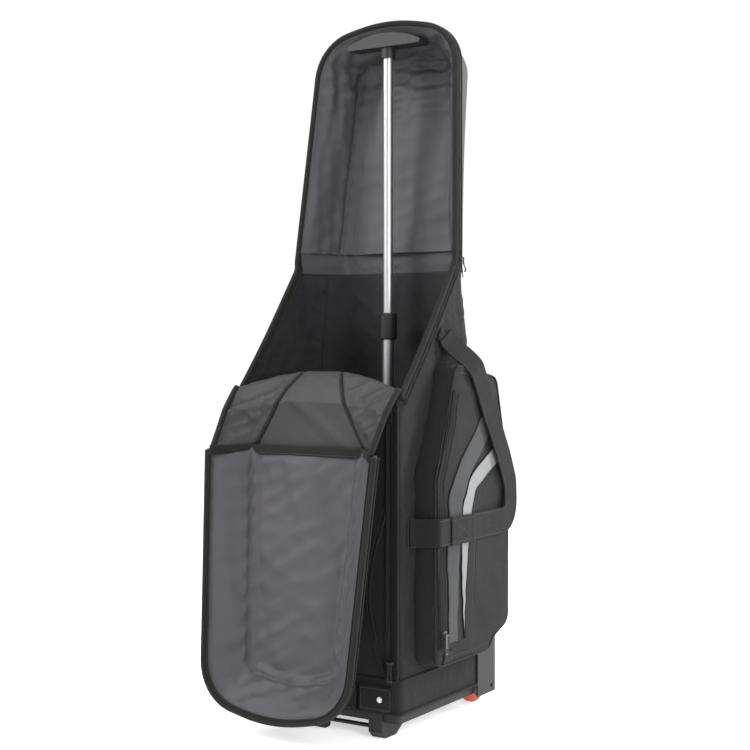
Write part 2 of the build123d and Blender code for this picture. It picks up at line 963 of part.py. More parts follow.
with BuildPart() as pole_lock:
    with Locations((0, pole_back, lock_bottom)):
        Cylinder(lock_radius, lock_top - lock_bottom, align=(Align.CENTER, Align.CENTER, Align.MIN))
    chamfer(pole_lock.edges().filter_by(GeomType.CIRCLE), 2)
    with Locations((0, pole_back, lock_bottom)):
        Cylinder(
            sleeve_radius + running_clearance, sleeve_top - lock_bottom + running_clearance,
            align=(Align.CENTER, Align.CENTER, Align.MIN), mode=Mode.SUBTRACT,
        )
        Cylinder(
            pole_radius + running_clearance, far,
            align=(Align.CENTER, Align.CENTER, Align.MIN), mode=Mode.SUBTRACT,
        )
keep(pole_lock, "pole_lock")
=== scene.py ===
import math

import bmesh
import bpy
import numpy as np
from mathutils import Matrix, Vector
from mathutils.bvhtree import BVHTree


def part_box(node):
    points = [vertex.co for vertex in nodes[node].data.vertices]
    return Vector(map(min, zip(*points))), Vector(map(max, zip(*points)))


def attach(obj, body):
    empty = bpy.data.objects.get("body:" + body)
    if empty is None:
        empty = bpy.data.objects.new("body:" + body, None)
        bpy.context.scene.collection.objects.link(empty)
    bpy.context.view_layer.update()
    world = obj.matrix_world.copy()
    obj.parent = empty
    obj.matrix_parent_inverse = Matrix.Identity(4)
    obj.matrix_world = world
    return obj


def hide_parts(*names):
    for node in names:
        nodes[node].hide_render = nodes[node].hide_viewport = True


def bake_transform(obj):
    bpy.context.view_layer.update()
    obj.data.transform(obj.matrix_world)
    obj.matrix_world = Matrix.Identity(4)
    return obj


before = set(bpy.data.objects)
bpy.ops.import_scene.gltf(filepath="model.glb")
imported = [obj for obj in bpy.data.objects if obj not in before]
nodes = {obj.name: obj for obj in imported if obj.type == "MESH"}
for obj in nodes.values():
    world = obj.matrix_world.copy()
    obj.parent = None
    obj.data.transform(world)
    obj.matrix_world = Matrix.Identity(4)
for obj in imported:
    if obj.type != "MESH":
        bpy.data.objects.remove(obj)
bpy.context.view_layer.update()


# camera, light, floor

shot = {
    "place": (1.435, -2.234, 0.664),
    "turn": 32.6,
    "lens": 68.4,
    "shiftY": -0.0333,
}


def makeCamera():
    data = bpy.data.cameras.new("camera")
    data.lens = shot["lens"]
    data.sensor_width = 36
    data.shift_y = shot["shiftY"]
    data.clip_end = 50
    cam = bpy.data.objects.new("camera", data)
    cam.location = shot["place"]
    cam.rotation_euler = (math.pi / 2, 0, math.radians(shot["turn"]))
    bpy.context.scene.collection.objects.link(cam)
    bpy.context.scene.camera = cam


def softbox(name, place, aim, size, power):
    data = bpy.data.lights.new(name, "AREA")
    data.shape = "RECTANGLE"
    data.size, data.size_y = size
    data.energy = power
    lamp = bpy.data.objects.new(name, data)
    lamp.location = place
    lamp.rotation_euler = (Vector(aim) - Vector(place)).to_track_quat("-Z", "Y").to_euler()
    bpy.context.scene.collection.objects.link(lamp)


makeCamera()
studio = {"world": 0.55, "floor": (0.80, 0.80, 0.80), "glow": 0.55, "backdrop": 1.0}
softbox("keyLight", (-1.9, -2.6, 2.6), (0, 0, 0.6), (1.6, 2.0), 150)
softbox("fillLight", (2.9, -1.6, 1.6), (0, 0, 0.6), (1.2, 2.2), 85)
softbox("edgeLight", (2.0, 1.9, 1.7), (0, 0, 0.8), (0.9, 2.0), 110)
softbox("topLight", (0.0, -0.6, 3.3), (0, 0, 0.6), (1.8, 1.8), 60)
world = bpy.data.worlds.new("studio")
bpy.context.scene.world = world
world.use_nodes = True
world.node_tree.nodes["Background"].inputs[0].default_value = (1, 1, 1, 1)
world.node_tree.nodes["Background"].inputs[1].default_value = studio["world"]
bpy.context.scene.view_settings.view_transform = "Standard"
print("camera and lights ready")


# shader maths

class Flow:
    def __init__(self, kit, socket):
        self.kit, self.socket = kit, socket

    def __add__(self, other):
        return self.kit.maths("ADD", self, other)

    def __sub__(self, other):
        return self.kit.maths("SUBTRACT", self, other)

    def __rsub__(self, other):
        return self.kit.maths("SUBTRACT", other, self)

    def __mul__(self, other):
        return self.kit.maths("MULTIPLY", self, other)

    def __truediv__(self, other):
        return self.kit.maths("DIVIDE", self, other)

    def __pow__(self, other):
        return self.kit.maths("POWER", self, other)

    def __gt__(self, other):
        return self.kit.maths("GREATER_THAN", self, other)

    def __lt__(self, other):
        return self.kit.maths("LESS_THAN", self, other)

    __radd__ = __add__
    __rmul__ = __mul__


class Finish:
    def __init__(self, name, **fixed):
        self.mat = bpy.data.materials.new(name)
        self.mat.use_nodes = True
        self.tree = self.mat.node_tree
        self.shader = self.tree.nodes["Principled BSDF"]
        for key, value in fixed.items():
            self.shader.inputs[key.replace("_", " ")].default_value = value
        self.place = self.add("ShaderNodeTexCoord", out="Object")

    def add(self, kind, settings=None, feeds=None, out=0):
        made = self.tree.nodes.new(kind)
        for key, value in (settings or {}).items():
            if key == "stops":
                for i, (at, colour) in enumerate(value):
                    stop = made.color_ramp.elements[i] if i < 2 else made.color_ramp.elements.new(at)
                    stop.position, stop.color = at, colour
            else:
                setattr(made, key, value)
        for key, value in (feeds or {}).items():
            self.feed(made.inputs[key], value)
        return Flow(self, made.outputs[out])

    def feed(self, socket, value):
        if isinstance(value, Flow):
            self.tree.links.new(value.socket, socket)
        else:
            socket.default_value = value

    def maths(self, operation, a, b=0.0):
        return self.add("ShaderNodeMath", {"operation": operation}, {0: a, 1: b})

    def wave(self, value):
        return self.maths("SINE", value)

    def axes(self):
        parts = self.add("ShaderNodeSeparateXYZ", None, {0: self.place})
        outs = parts.socket.node.outputs
        return [Flow(self, outs[i]) for i in range(3)]

    def noise(self, scale, detail=2.0, rough=0.5):
        return self.add("ShaderNodeTexNoise", None,
                        {"Vector": self.place, "Scale": scale, "Detail": detail, "Roughness": rough})

    def blend(self, factor, a, b):
        made = self.add("ShaderNodeMix", {"data_type": "RGBA"}, {0: factor, 6: (*a, 1), 7: (*b, 1)}, out=2)
        return made

    def weave(self, pitch):
        turn = 2 * math.pi / pitch
        x, y, z = [self.wave(part * turn) for part in self.axes()]
        return x * y + y * z + z * x

    def bump(self, height, distance, strength=1.0):
        return self.add("ShaderNodeBump", None,
                        {"Height": height, "Distance": distance, "Strength": strength})

    def wear(self, **feeds):
        for key, value in feeds.items():
            self.feed(self.shader.inputs[key.replace("_", " ")], value)
        return self.mat


clothLook = {
    "black": ((0.0075, 0.0075, 0.0078), (0.0135, 0.0135, 0.0140)),
    "coated": ((0.0100, 0.0100, 0.0104), (0.0200, 0.0200, 0.0208)),
    "grey": ((0.030, 0.031, 0.032), (0.044, 0.045, 0.047)),
    "inside": ((0.010, 0.010, 0.011), (0.018, 0.018, 0.020)),
}


def clothFinish(name, dark, light, rough, pitch, depth, sheen, shine=0.14):
    kit = Finish(name, Sheen_Weight=sheen, Sheen_Roughness=0.45, Specular_IOR_Level=shine)
    cloud = kit.noise(9, 3)
    fuzz = kit.noise(900, 2)
    weave = kit.weave(pitch)
    colour = kit.blend(cloud * 0.7 + fuzz * 0.5 - 0.1, dark, light)
    relief = kit.bump(weave * 0.5 + fuzz * 0.6, depth)
    return kit.wear(Base_Color=colour, Roughness=rough + (fuzz - 0.5) * 0.2, Normal=relief)


def satinFinish():
    kit = Finish("satinLining", Sheen_Weight=0.06, Sheen_Roughness=0.3, Specular_IOR_Level=0.25)
    x, y, z = kit.axes()
    turn = 2 * math.pi / 0.0016
    twill = kit.wave((x + y + z) * turn)
    cloud = kit.noise(6, 3)
    grain = kit.noise(1400, 1)
    crease = kit.noise(34, 4, 0.6)
    colour = kit.blend(cloud * 0.6 + grain * 0.4, (0.030, 0.0285, 0.033), (0.047, 0.045, 0.051))
    relief = kit.bump(twill * 0.00009 + grain * 0.00012 + crease * 0.0016, 1.0, 0.55)
    return kit.wear(Base_Color=colour, Roughness=0.46 + grain * 0.12, Normal=relief)


def webbingFinish():
    kit = Finish("webbing", Sheen_Weight=0.05, Sheen_Roughness=0.5, Specular_IOR_Level=0.14)
    weave = kit.weave(0.0021)
    fuzz = kit.noise(700, 2)
    colour = kit.blend(weave * 0.3 + fuzz * 0.6, (0.0050, 0.0050, 0.0050), (0.0120, 0.0120, 0.0125))
    return kit.wear(Base_Color=colour, Roughness=0.74 + fuzz * 0.14,
                    Normal=kit.bump(weave + fuzz * 0.5, 0.00035))


def shellFinish():
    kit = Finish("hardShell", Specular_IOR_Level=0.35, Coat_Roughness=0.3, Coat_Weight=0.05)
    grain = kit.noise(620, 3, 0.6)
    cloud = kit.noise(5, 2)
    colour = kit.blend(cloud * 0.8 + grain * 0.2, (0.016, 0.016, 0.015), (0.026, 0.026, 0.0245))
    return kit.wear(Base_Color=colour, Roughness=0.40 + grain * 0.14, Normal=kit.bump(grain, 0.00025))


def plasticFinish(name, dark, light, rough, grainScale, depth, shine=0.25):
    kit = Finish(name, Specular_IOR_Level=shine)
    grain = kit.noise(grainScale, 3, 0.65)
    cloud = kit.noise(14, 2)
    colour = kit.blend(cloud * 0.6 + grain * 0.4, dark, light)
    return kit.wear(Base_Color=colour, Roughness=rough + grain * 0.18, Normal=kit.bump(grain, depth))


def metalFinish(name, colour, bright, rough, streak):
    kit = Finish(name, Metallic=1.0)
    x, y, z = kit.axes()
    along = kit.add("ShaderNodeCombineXYZ", None, {0: x * 1.0, 1: y * 1.0, 2: z * streak})
    brushed = kit.add("ShaderNodeTexNoise", None, {"Vector": along, "Scale": 900.0, "Detail": 3.0})
    cloud = kit.noise(20, 2)
    tone = kit.blend(brushed * 0.6 + cloud * 0.4, colour, bright)
    return kit.wear(Base_Color=tone, Roughness=rough + brushed * 0.16, Normal=kit.bump(brushed, 0.00006))


def threadFinish(name, dark, light):
    kit = Finish(name, Specular_IOR_Level=0.4, Sheen_Weight=0.2)
    twist = kit.noise(2400, 1)
    return kit.wear(Base_Color=kit.blend(twist, dark, light), Roughness=0.6 + twist * 0.2,
                    Normal=kit.bump(twist, 0.0001))


look = {
    "black": clothFinish("blackCloth", *clothLook["black"], 0.80, 0.0013, 0.00022, 0.03),
    "coated": clothFinish("coatedCloth", *clothLook["coated"], 0.50, 0.0011, 0.00010, 0.03, 0.30),
    "grey": clothFinish("greyCloth", *clothLook["grey"], 0.72, 0.0013, 0.00022, 0.05),
    "inside": clothFinish("insideCloth", *clothLook["inside"], 0.7, 0.0012, 0.00015, 0.04),
    "satin": satinFinish(),
    "tape": plasticFinish("reflectiveTape", (0.125, 0.130, 0.135), (0.180, 0.185, 0.190), 0.42, 1500,
                          0.00008),
    "webbing": webbingFinish(),
    "binding": clothFinish("bindingTape", (0.0050, 0.0047, 0.0040), (0.0095, 0.0090, 0.0078), 0.68,
                           0.0009, 0.0002, 0.03),
    "zipTape": clothFinish("zipTape", (0.0025, 0.0025, 0.0026), (0.0050, 0.0050, 0.0052), 0.74, 0.0008,
                           0.0002, 0.03),
    "coil": plasticFinish("zipCoil", (0.006, 0.006, 0.0063), (0.012, 0.012, 0.0125), 0.34, 800, 0.0001,
                          0.4),
    "thread": threadFinish("thread", (0.014, 0.014, 0.0145), (0.030, 0.030, 0.031)),
    "shell": shellFinish(),
    "base": plasticFinish("baseMoulding", (0.008, 0.008, 0.0084), (0.014, 0.014, 0.0148), 0.45, 520,
                          0.0003),
    "cover": plasticFinish("wheelCover", (0.012, 0.012, 0.0125), (0.021, 0.021, 0.022), 0.42, 480, 0.0003),
    "enamel": plasticFinish("rodEnamel", (0.006, 0.006, 0.006), (0.010, 0.010, 0.010), 0.28, 300,
                            0.0001, 0.4),
    "headBlack": plasticFinish("headMoulding", (0.008, 0.008, 0.0085), (0.014, 0.014, 0.0145), 0.4, 600,
                               0.0002),
    "pole": metalFinish("poleTube", (0.30, 0.30, 0.31), (0.44, 0.44, 0.455), 0.34, 0.02),
    "nickel": metalFinish("nickelWire", (0.50, 0.50, 0.50), (0.66, 0.66, 0.66), 0.18, 1.0),
    "darkZinc": metalFinish("darkZinc", (0.045, 0.045, 0.047), (0.085, 0.085, 0.088), 0.3, 1.0),
    "steel": metalFinish("boltSteel", (0.42, 0.42, 0.44), (0.55, 0.55, 0.57), 0.3, 1.0),
    "wheel": plasticFinish("wheelTyre", (0.36, 0.038, 0.022), (0.46, 0.055, 0.030), 0.42, 260, 0.0002, 0.4),
    "hub": plasticFinish("wheelHub", (0.010, 0.010, 0.010), (0.018, 0.018, 0.018), 0.35, 300, 0.0001),
}
print("finishes ready:", len(look))


# mesh helpers; every piece is built in metres in the case's own frame

edging = {
    "piping": 0.0022,
    "thinPiping": 0.0019,
    "facing": 0.0016,
    "lining": 0.0022,
    "flushGap": 0.0012,
}

def addObject(name, mesh, material, smooth=True):
    obj = bpy.data.objects.new(name, mesh)
    bpy.context.scene.collection.objects.link(obj)
    mesh.materials.append(look[material])
    if smooth:
        mesh.polygons.foreach_set("use_smooth", np.ones(len(mesh.polygons), bool))
    return obj


def meshFrom(name, points, faces):
    mesh = bpy.data.meshes.new(name)
    mesh.from_pydata([tuple(p) for p in np.asarray(points, float)], [], [list(map(int, f)) for f in faces])
    mesh.validate()
    return mesh


def settle(obj, body, slotName, *stoodFor):
    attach(obj, body)
    if stoodFor:
        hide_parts(*stoodFor)
    return obj


def gridFaces(rows, cols, closed=False):
    span = cols if closed else cols - 1
    i, j = np.meshgrid(np.arange(rows - 1), np.arange(span), indexing="ij")
    a = i * cols + j
    b = i * cols + (j + 1) % cols
    return np.stack([a, b, b + cols, a + cols], -1).reshape(-1, 4)


def normalsOf(points, faces):
    a, b, c, d = [points[faces[:, k]] for k in range(4)]
    flat = np.cross(c - a, d - b)
    out = np.zeros_like(points)
    for k in range(4):
        np.add.at(out, faces[:, k], flat)
    return out / np.maximum(np.linalg.norm(out, axis=1, keepdims=True), 1e-12)


# a thick sheet from a grid of points; the second skin lies wall behind the first
def sheetFrom(name, grid, wall, material, closed=False, keepPart=None, relax=None):
    rows, cols = grid.shape[:2]
    points = grid.reshape(-1, 3)
    faces = gridFaces(rows, cols, closed)
    out = normalsOf(points, faces)
    if relax is not None:
        points = points + out * relax.reshape(-1, 1)
        out = normalsOf(points, faces)
    mesh = meshFrom(name, points, faces)
    work = bmesh.new()
    work.from_mesh(mesh)
    bmesh.ops.remove_doubles(work, verts=work.verts, dist=0.0002)
    for origin, normal in keepPart or []:
        every = work.verts[:] + work.edges[:] + work.faces[:]
        bmesh.ops.bisect_plane(work, geom=every, plane_co=origin, plane_no=normal, clear_outer=True)
    bmesh.ops.recalc_face_normals(work, faces=work.faces[:])
    work.to_mesh(mesh)
    work.free()
    obj = addObject(name, mesh, material)
    thick = obj.modifiers.new("wall", "SOLIDIFY")
    thick.thickness = wall
    thick.offset = -1
    thick.use_even_offset = False
    return obj


# smooth pseudo-random field from a few waves; the same each run
def ripple(points, size, seed, count=9, sharp=False):
    draw = np.random.default_rng(seed)
    total = np.zeros(len(points))
    for _ in range(count):
        way = draw.normal(size=3)
        way /= np.linalg.norm(way)
        pitch = size * draw.uniform(0.6, 1.6)
        bend = np.sin(points @ draw.normal(size=3) * (2.1 / size) + draw.uniform(0, 6)) * 0.6
        wave = np.sin(points @ way * (2 * math.pi / pitch) + draw.uniform(0, 6) + bend)
        total += (1 - 2 * np.abs(wave)) if sharp else wave
    return total / math.sqrt(count)


# outline with rounded corners; inset moves each straight inwards, count points along it
def roundedPath(corners, radii, inset=0.0, count=160, closed=False):
    pts = np.array(corners, float)
    total = len(pts)
    ways = []
    for i in range(total if closed else total - 1):
        run = pts[(i + 1) % total] - pts[i]
        ways.append(run / np.linalg.norm(run))
    side = [np.array((-way[1], way[0])) for way in ways]
    moved = []
    for i in range(total):
        if not closed and i in (0, total - 1):
            moved.append(pts[i] + side[0 if i == 0 else -1] * inset)
            continue
        before, after = side[i - 1], side[i % len(side)]
        share = before + after
        moved.append(pts[i] + share * inset / (share @ after))
    line = []
    for i in range(total):
        if not closed and i in (0, total - 1):
            line.append(moved[i])
            continue
        radius = max(radii[i] - inset, 0.0005)
        back, ahead = ways[i - 1], ways[i % len(ways)]
        turn = math.acos(max(-1, min(1, back @ ahead)))
        if turn < 0.01:
            line.append(moved[i])
            continue
        reach = radius * math.tan(turn / 2)
        start = moved[i] - back * reach
        spin = 1 if back[0] * ahead[1] - back[1] * ahead[0] > 0 else -1
        centre = start + np.array((-back[1], back[0])) * radius * spin
        steps = 14
        for k in range(steps + 1):
            angle = turn * k / steps * spin
            arm = start - centre
            line.append(centre + np.array((
                arm[0] * math.cos(angle) - arm[1] * math.sin(angle),
                arm[0] * math.sin(angle) + arm[1] * math.cos(angle),
            )))
    if closed:
        line.append(line[0])
    line = np.array(line)
    along = np.concatenate([[0], np.cumsum(np.linalg.norm(np.diff(line, axis=0), axis=1))])
    at = np.linspace(0, along[-1], count + (1 if closed else 0))
    out = np.stack([np.interp(at, along, line[:, k]) for k in range(2)], 1)
    return out[:-1] if closed else out


# a line respaced together with the directions it carries
def evenlyWith(line, ups, step):
    line = np.asarray(line, float)
    ups = np.broadcast_to(np.asarray(ups, float), line.shape)
    both = evenly(np.hstack([line, ups]), step, 3)
    return both[:, :3], both[:, 3:]


def evenly(line, step, use=None):
    line = np.asarray(line, float)
    along = np.concatenate([[0], np.cumsum(np.linalg.norm(np.diff(line[:, :use], axis=0), axis=1))])
    at = np.linspace(0, along[-1], max(2, int(round(along[-1] / step)) + 1))
    return np.stack([np.interp(at, along, line[:, k]) for k in range(line.shape[1])], 1)


def smoothLine(line, rounds=2):
    line = np.asarray(line, float)
    for _ in range(rounds):
        cut = [line[0]]
        for a, b in zip(line[:-1], line[1:]):
            cut += [a * 0.75 + b * 0.25, a * 0.25 + b * 0.75]
        cut.append(line[-1])
        line = np.array(cut)
    return line


# sweeps a cross-section along a line; up is the direction that the section's second axis follows
def sweep(name, line, section, up, material, closedLine=False, capEnds=True):
    line = np.asarray(line, float)
    count = len(line)
    if closedLine:
        way = np.roll(line, -1, 0) - np.roll(line, 1, 0)
    else:
        way = np.gradient(line, axis=0)
    way /= np.maximum(np.linalg.norm(way, axis=1, keepdims=True), 1e-9)
    up = np.broadcast_to(np.asarray(up, float), line.shape).copy()
    up -= (up * way).sum(1, keepdims=True) * way
    up /= np.maximum(np.linalg.norm(up, axis=1, keepdims=True), 1e-9)
    across = np.cross(way, up)
    sec = np.asarray(section, float)
    ring = line[:, None] + across[:, None] * sec[None, :, :1] + up[:, None] * sec[None, :, 1:2]
    many = len(sec)
    faces = [list(f) for f in gridFaces(count, many, True)]
    if closedLine:
        for j in range(many):
            a, b = (count - 1) * many + j, (count - 1) * many + (j + 1) % many
            faces.append([a, b, (j + 1) % many, j])
    elif capEnds:
        faces.append(list(range(many))[::-1])
        faces.append([(count - 1) * many + j for j in range(many)])
    mesh = meshFrom(name, ring.reshape(-1, 3), faces)
    work = bmesh.new()
    work.from_mesh(mesh)
    bmesh.ops.recalc_face_normals(work, faces=work.faces[:])
    work.to_mesh(mesh)
    work.free()
    return addObject(name, mesh, material)


def circleSection(radius, sides=10, flat=1.0):
    turn = np.linspace(0, 2 * math.pi, sides, endpoint=False)
    return np.stack([np.cos(turn) * radius, np.sin(turn) * radius * flat], 1)


def tapeSection(width, wall, low=0.0, share=0.35):
    half, r = width / 2, wall * share
    return np.array([
        (-half, low + r), (-half, low + wall - r), (-half + r, low + wall), (-half * 0.33, low + wall),
        (half * 0.33, low + wall), (half - r, low + wall), (half, low + wall - r), (half, low + r),
        (half - r, low), (half * 0.33, low), (-half * 0.33, low), (-half + r, low),
    ])


# copies of one small closed shape, set along places with their own three axes
def scatter(name, shape, faces, places, ways, sides, ups, material, smooth=True):
    shape = np.asarray(shape, float)
    places, ways, sides, ups = [np.asarray(v, float) for v in (places, ways, sides, ups)]
    pts = (places[:, None] + ways[:, None] * shape[None, :, :1] + sides[:, None] * shape[None, :, 1:2]
           + ups[:, None] * shape[None, :, 2:3])
    step = len(shape)
    allFaces = [[v + k * step for v in f] for k in range(len(places)) for f in faces]
    return addObject(name, meshFrom(name, pts.reshape(-1, 3), allFaces), material, smooth)


def pill(length, width, height):
    a, b, c = length / 2, width / 2, height
    shape = [(-a, 0, 0), (-a * 0.6, -b, 0), (a * 0.6, -b, 0), (a, 0, 0), (a * 0.6, b, 0), (-a * 0.6, b, 0),
             (-a * 0.55, 0, c), (a * 0.55, 0, c)]
    faces = [(0, 1, 6), (1, 2, 7, 6), (2, 3, 7), (3, 4, 7), (4, 5, 6, 7), (5, 0, 6), (5, 4, 3, 2, 1, 0)]
    return shape, faces


stitchSize = {"length": 0.0032, "gap": 0.0016, "width": 0.0010, "height": 0.0007}


# a row of thread stitches along a line that lies on the cloth
def stitchRow(name, line, up, body, material="thread", slotName="webbing"):
    step = stitchSize["length"] + stitchSize["gap"]
    line, up = evenlyWith(line, up, step)
    way = np.gradient(line, axis=0)
    way /= np.linalg.norm(way, axis=1, keepdims=True)
    side = np.cross(up, way)
    side /= np.maximum(np.linalg.norm(side, axis=1, keepdims=True), 1e-9)
    shape, faces = pill(stitchSize["length"], stitchSize["width"], stitchSize["height"])
    obj = scatter(name, shape, faces, line, way, side, np.cross(way, side), material)
    return settle(obj, body, slotName)


# coil zip: two rows of interlocking teeth on a tape
def zipRow(name, line, up, body, slotName="zip_black", pitch=0.0021, width=0.0058, height=0.0016,
           *stoodFor):
    line, up = evenlyWith(line, up, pitch)
    way = np.gradient(line, axis=0)
    way /= np.linalg.norm(way, axis=1, keepdims=True)
    side = np.cross(up, way)
    side /= np.maximum(np.linalg.norm(side, axis=1, keepdims=True), 1e-9)
    lift = np.cross(way, side)
    flip = np.where(np.arange(len(line)) % 2 == 0, 1.0, -1.0)[:, None]
    shape, faces = pill(width * 0.62, pitch * 0.62, height)
    obj = scatter(name, shape, faces, line + side * flip * width * 0.2, side, way, lift, "coil")
    return settle(obj, body, slotName, *stoodFor)


def mirroredX(line):
    return np.asarray(line, float) * np.array((-1, 1, 1))


sides = (("right", 1), ("left", -1))


# floor

def makeFloor():
    size = 12
    mesh = meshFrom("floor", [(-size, -size, 0), (size, -size, 0), (size, size, 0), (-size, size, 0)],
                    [(0, 1, 2, 3)])
    kit = Finish("floorPaint", Roughness=0.9, Emission_Color=(1, 1, 1, 1), Emission_Strength=studio["glow"])
    kit.wear(Base_Color=kit.blend(kit.noise(3), studio["floor"], tuple(0.99 * c for c in studio["floor"])))
    look["floor"] = kit.mat
    addObject("floor", mesh, "floor")
    count = 48
    turns = np.linspace(0, 2 * math.pi, count, endpoint=False)
    low, high = [np.column_stack([np.cos(turns) * 7, np.sin(turns) * 7,
                                  np.full(count, z)]) for z in (-0.5, 3.6)]
    wall = np.vstack([low, high])
    faces = [(k, (k + 1) % count, count + (k + 1) % count, count + k) for k in range(count)]
    kit = Finish("backdropPaint", Roughness=1.0, Emission_Color=(1, 1, 1, 1),
                 Emission_Strength=studio["backdrop"])
    kit.wear(Base_Color=kit.blend(kit.noise(2), (0.02, 0.02, 0.02), (0.021, 0.021, 0.021)))
    look["backdrop"] = kit.mat
    addObject("backdrop", meshFrom("backdrop", wall, faces), "backdrop")


makeFloor()


# body walls

body = {
    "half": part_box("base_skirt")[1].x,
    "front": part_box("front_panel")[0].y,
    "levels": ((0.030, 0.160, 0.040, 0.045), (0.660, 0.114, 0.045, 0.062), (0.850, 0.112, 0.047, 0.105)),
    "frontCorner": 0.012,
    "backCorner": 0.030,
    "wall": 0.0038,
    "mouth": ((-0.185, 0.585), (-0.103, 0.681), (0.0, 0.820), (0.0032, 0.850)),
}


def bodyLevel(height):
    levels = body["levels"]
    low, high = (levels[0], levels[1]) if height < levels[1][0] else (levels[1], levels[2])
    share = (height - low[0]) / (high[0] - low[0])
    return [a + (b - a) * share for a, b in zip(low[1:], high[1:])]


# from the middle of the front round the right side to the middle of the back, as fractions 0..1
def bodyLoop(height, inset=0.0, count=200):
    back, cornerIn, cornerLong = bodyLevel(height)
    half = body["half"]
    corners = [(0, body["front"]), (half, body["front"]), (half, back - cornerLong),
               (half - cornerIn, back), (0, back)]
    radii = [0, body["frontCorner"], body["backCorner"], body["backCorner"], 0]
    return roundedPath(corners, radii, inset, count)


def mouthBack(height):
    line = np.array(body["mouth"])
    return np.interp(height, line[:, 1], line[:, 0])


def evenlyCount(line, count):
    along = np.concatenate([[0], np.cumsum(np.linalg.norm(np.diff(line, axis=0), axis=1))])
    at = np.linspace(0, along[-1], count)
    return np.stack([np.interp(at, along, line[:, k]) for k in range(line.shape[1])], 1)


def wallGrid(heights, pick, count, inset=0.0):
    rows = []
    for z in heights:
        loop = bodyLoop(z, inset, 1400)
        line = pick(loop, z)
        rows.append(np.column_stack([evenlyCount(line, count), np.full(count, z)]))
    return np.array(rows)


def levelsFrom(low, high, step):
    return np.linspace(low, high, int(round((high - low) / step)) + 1)


def edgeFade(rows, cols, step, reach=0.02):
    i = np.minimum(np.arange(rows), np.arange(rows)[::-1])[:, None] * step
    j = np.minimum(np.arange(cols), np.arange(cols)[::-1])[None, :] * step
    near = np.clip(np.minimum(i, j) / reach, 0, 1)
    return near * near * (3 - 2 * near)


panel = {
    "step": 0.006,
    "low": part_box("front_panel")[0].z,
    "frontTop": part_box("front_panel")[1].z,
    "sideTop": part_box("side_panel_right")[1].z,
    "zipX": 0.160,
    "seamGap": 0.002,
    "sideSeam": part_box("back_panel")[0].y,
    "puff": 0.0016,
    "crease": 0.0011,
}


def clothRelief(grid, step, puff, crease, seed, size=0.16, creaseSize=0.05):
    rows, cols = grid.shape[:2]
    flat = grid.reshape(-1, 3)
    fade = edgeFade(rows, cols, step).reshape(-1)
    return (ripple(flat, size, seed) * puff + ripple(flat, creaseSize, seed + 1, sharp=True) * crease
            + puff * 1.2) * fade


def twoFaced(obj, inner):
    obj.data.materials.append(look[inner])
    obj.modifiers["wall"].material_offset = 1
    return obj


def makeWalls():
    step = panel["step"]
    front = wallGrid(levelsFrom(panel["low"], panel["frontTop"], step), lambda loop, z: np.vstack([
        mirror2(loop[loop[:, 0] <= panel["zipX"] - panel["seamGap"]][:2000])[::-1][:-1],
        loop[(loop[:, 0] <= panel["zipX"] - panel["seamGap"]) & (loop[:, 1] < 0)],
    ]), 54)
    relief = clothRelief(front, step, panel["puff"] * 0.8, panel["crease"] * 0.7, 21)
    obj = sheetFrom("frontPanelCloth", front, body["wall"], "black", relax=-relief)
    settle(twoFaced(obj, "inside"), "case", "black_fabric", "front_panel")
    for label, sign in sides:
        heights = np.concatenate([np.arange(panel["low"], 0.585, step),
                                  np.arange(0.585, panel["sideTop"] + 0.001, 0.004)])

        def pick(loop, z):
            if z <= 0.585:
                ahead = loop[(loop[:, 0] >= panel["zipX"]
                              + panel["seamGap"]) & (loop[:, 1] <= panel["sideSeam"])]
            else:
                ahead = loop[(loop[:, 1] >= mouthBack(z) + 0.004) & (loop[:, 1] <= panel["sideSeam"])]
            return ahead

        side = wallGrid(heights, pick, 52)
        relief = clothRelief(side, step, panel["puff"], panel["crease"], 31)
        side[:, :, 0] *= sign
        obj = sheetFrom("sidePanelCloth_" + label, side, body["wall"], "black",
                        relax=-relief * sign * 1.0)
        settle(twoFaced(obj, "inside"), "case", "black_fabric", "side_panel_" + label)
    back = wallGrid(levelsFrom(panel["low"], panel["sideTop"], step), lambda loop, z: np.vstack([
        loop[loop[:, 1] >= panel["sideSeam"]], mirror2(loop[loop[:, 1] >= panel["sideSeam"]])[::-1][1:],
    ]), 70)
    relief = clothRelief(back, step, panel["puff"], panel["crease"], 41)
    obj = sheetFrom("backPanelCloth", back, body["wall"], "black", relax=-relief)
    settle(twoFaced(obj, "inside"), "case", "black_fabric", "back_panel")


def mirror2(line):
    return line * np.array((-1, 1))


def makeNeck():
    low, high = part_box("neck_band")
    grid = wallGrid(levelsFrom(low.z, high.z + 0.0015, 0.003), lambda loop, z: np.vstack([
        loop[loop[:, 1] >= mouthBack(z) + 0.005],
        mirror2(loop[loop[:, 1] >= mouthBack(z) + 0.005])[::-1][1:],
    ]), 120)
    relief = clothRelief(grid, 0.003, 0.0006, 0.0005, 51)
    obj = sheetFrom("neckBandCloth", grid, body["wall"], "black", relax=-relief)
    settle(twoFaced(obj, "satin"), "case", "black_fabric", "neck_band")
    for name, z in (("neckPipingLow", low.z), ("neckPipingHigh", high.z - 0.001)):
        loop = bodyLoop(z, -0.0012, 500)
        keep = loop[loop[:, 1] >= mouthBack(z) + 0.008]
        line = np.vstack([keep, mirror2(keep)[::-1][1:]])
        line = np.column_stack([evenlyCount(line, 130), np.full(130, z)])
        obj = sweep(name, line, circleSection(0.0021, 8), (0, 0, 1), "binding")
        settle(obj, "case", "webbing")


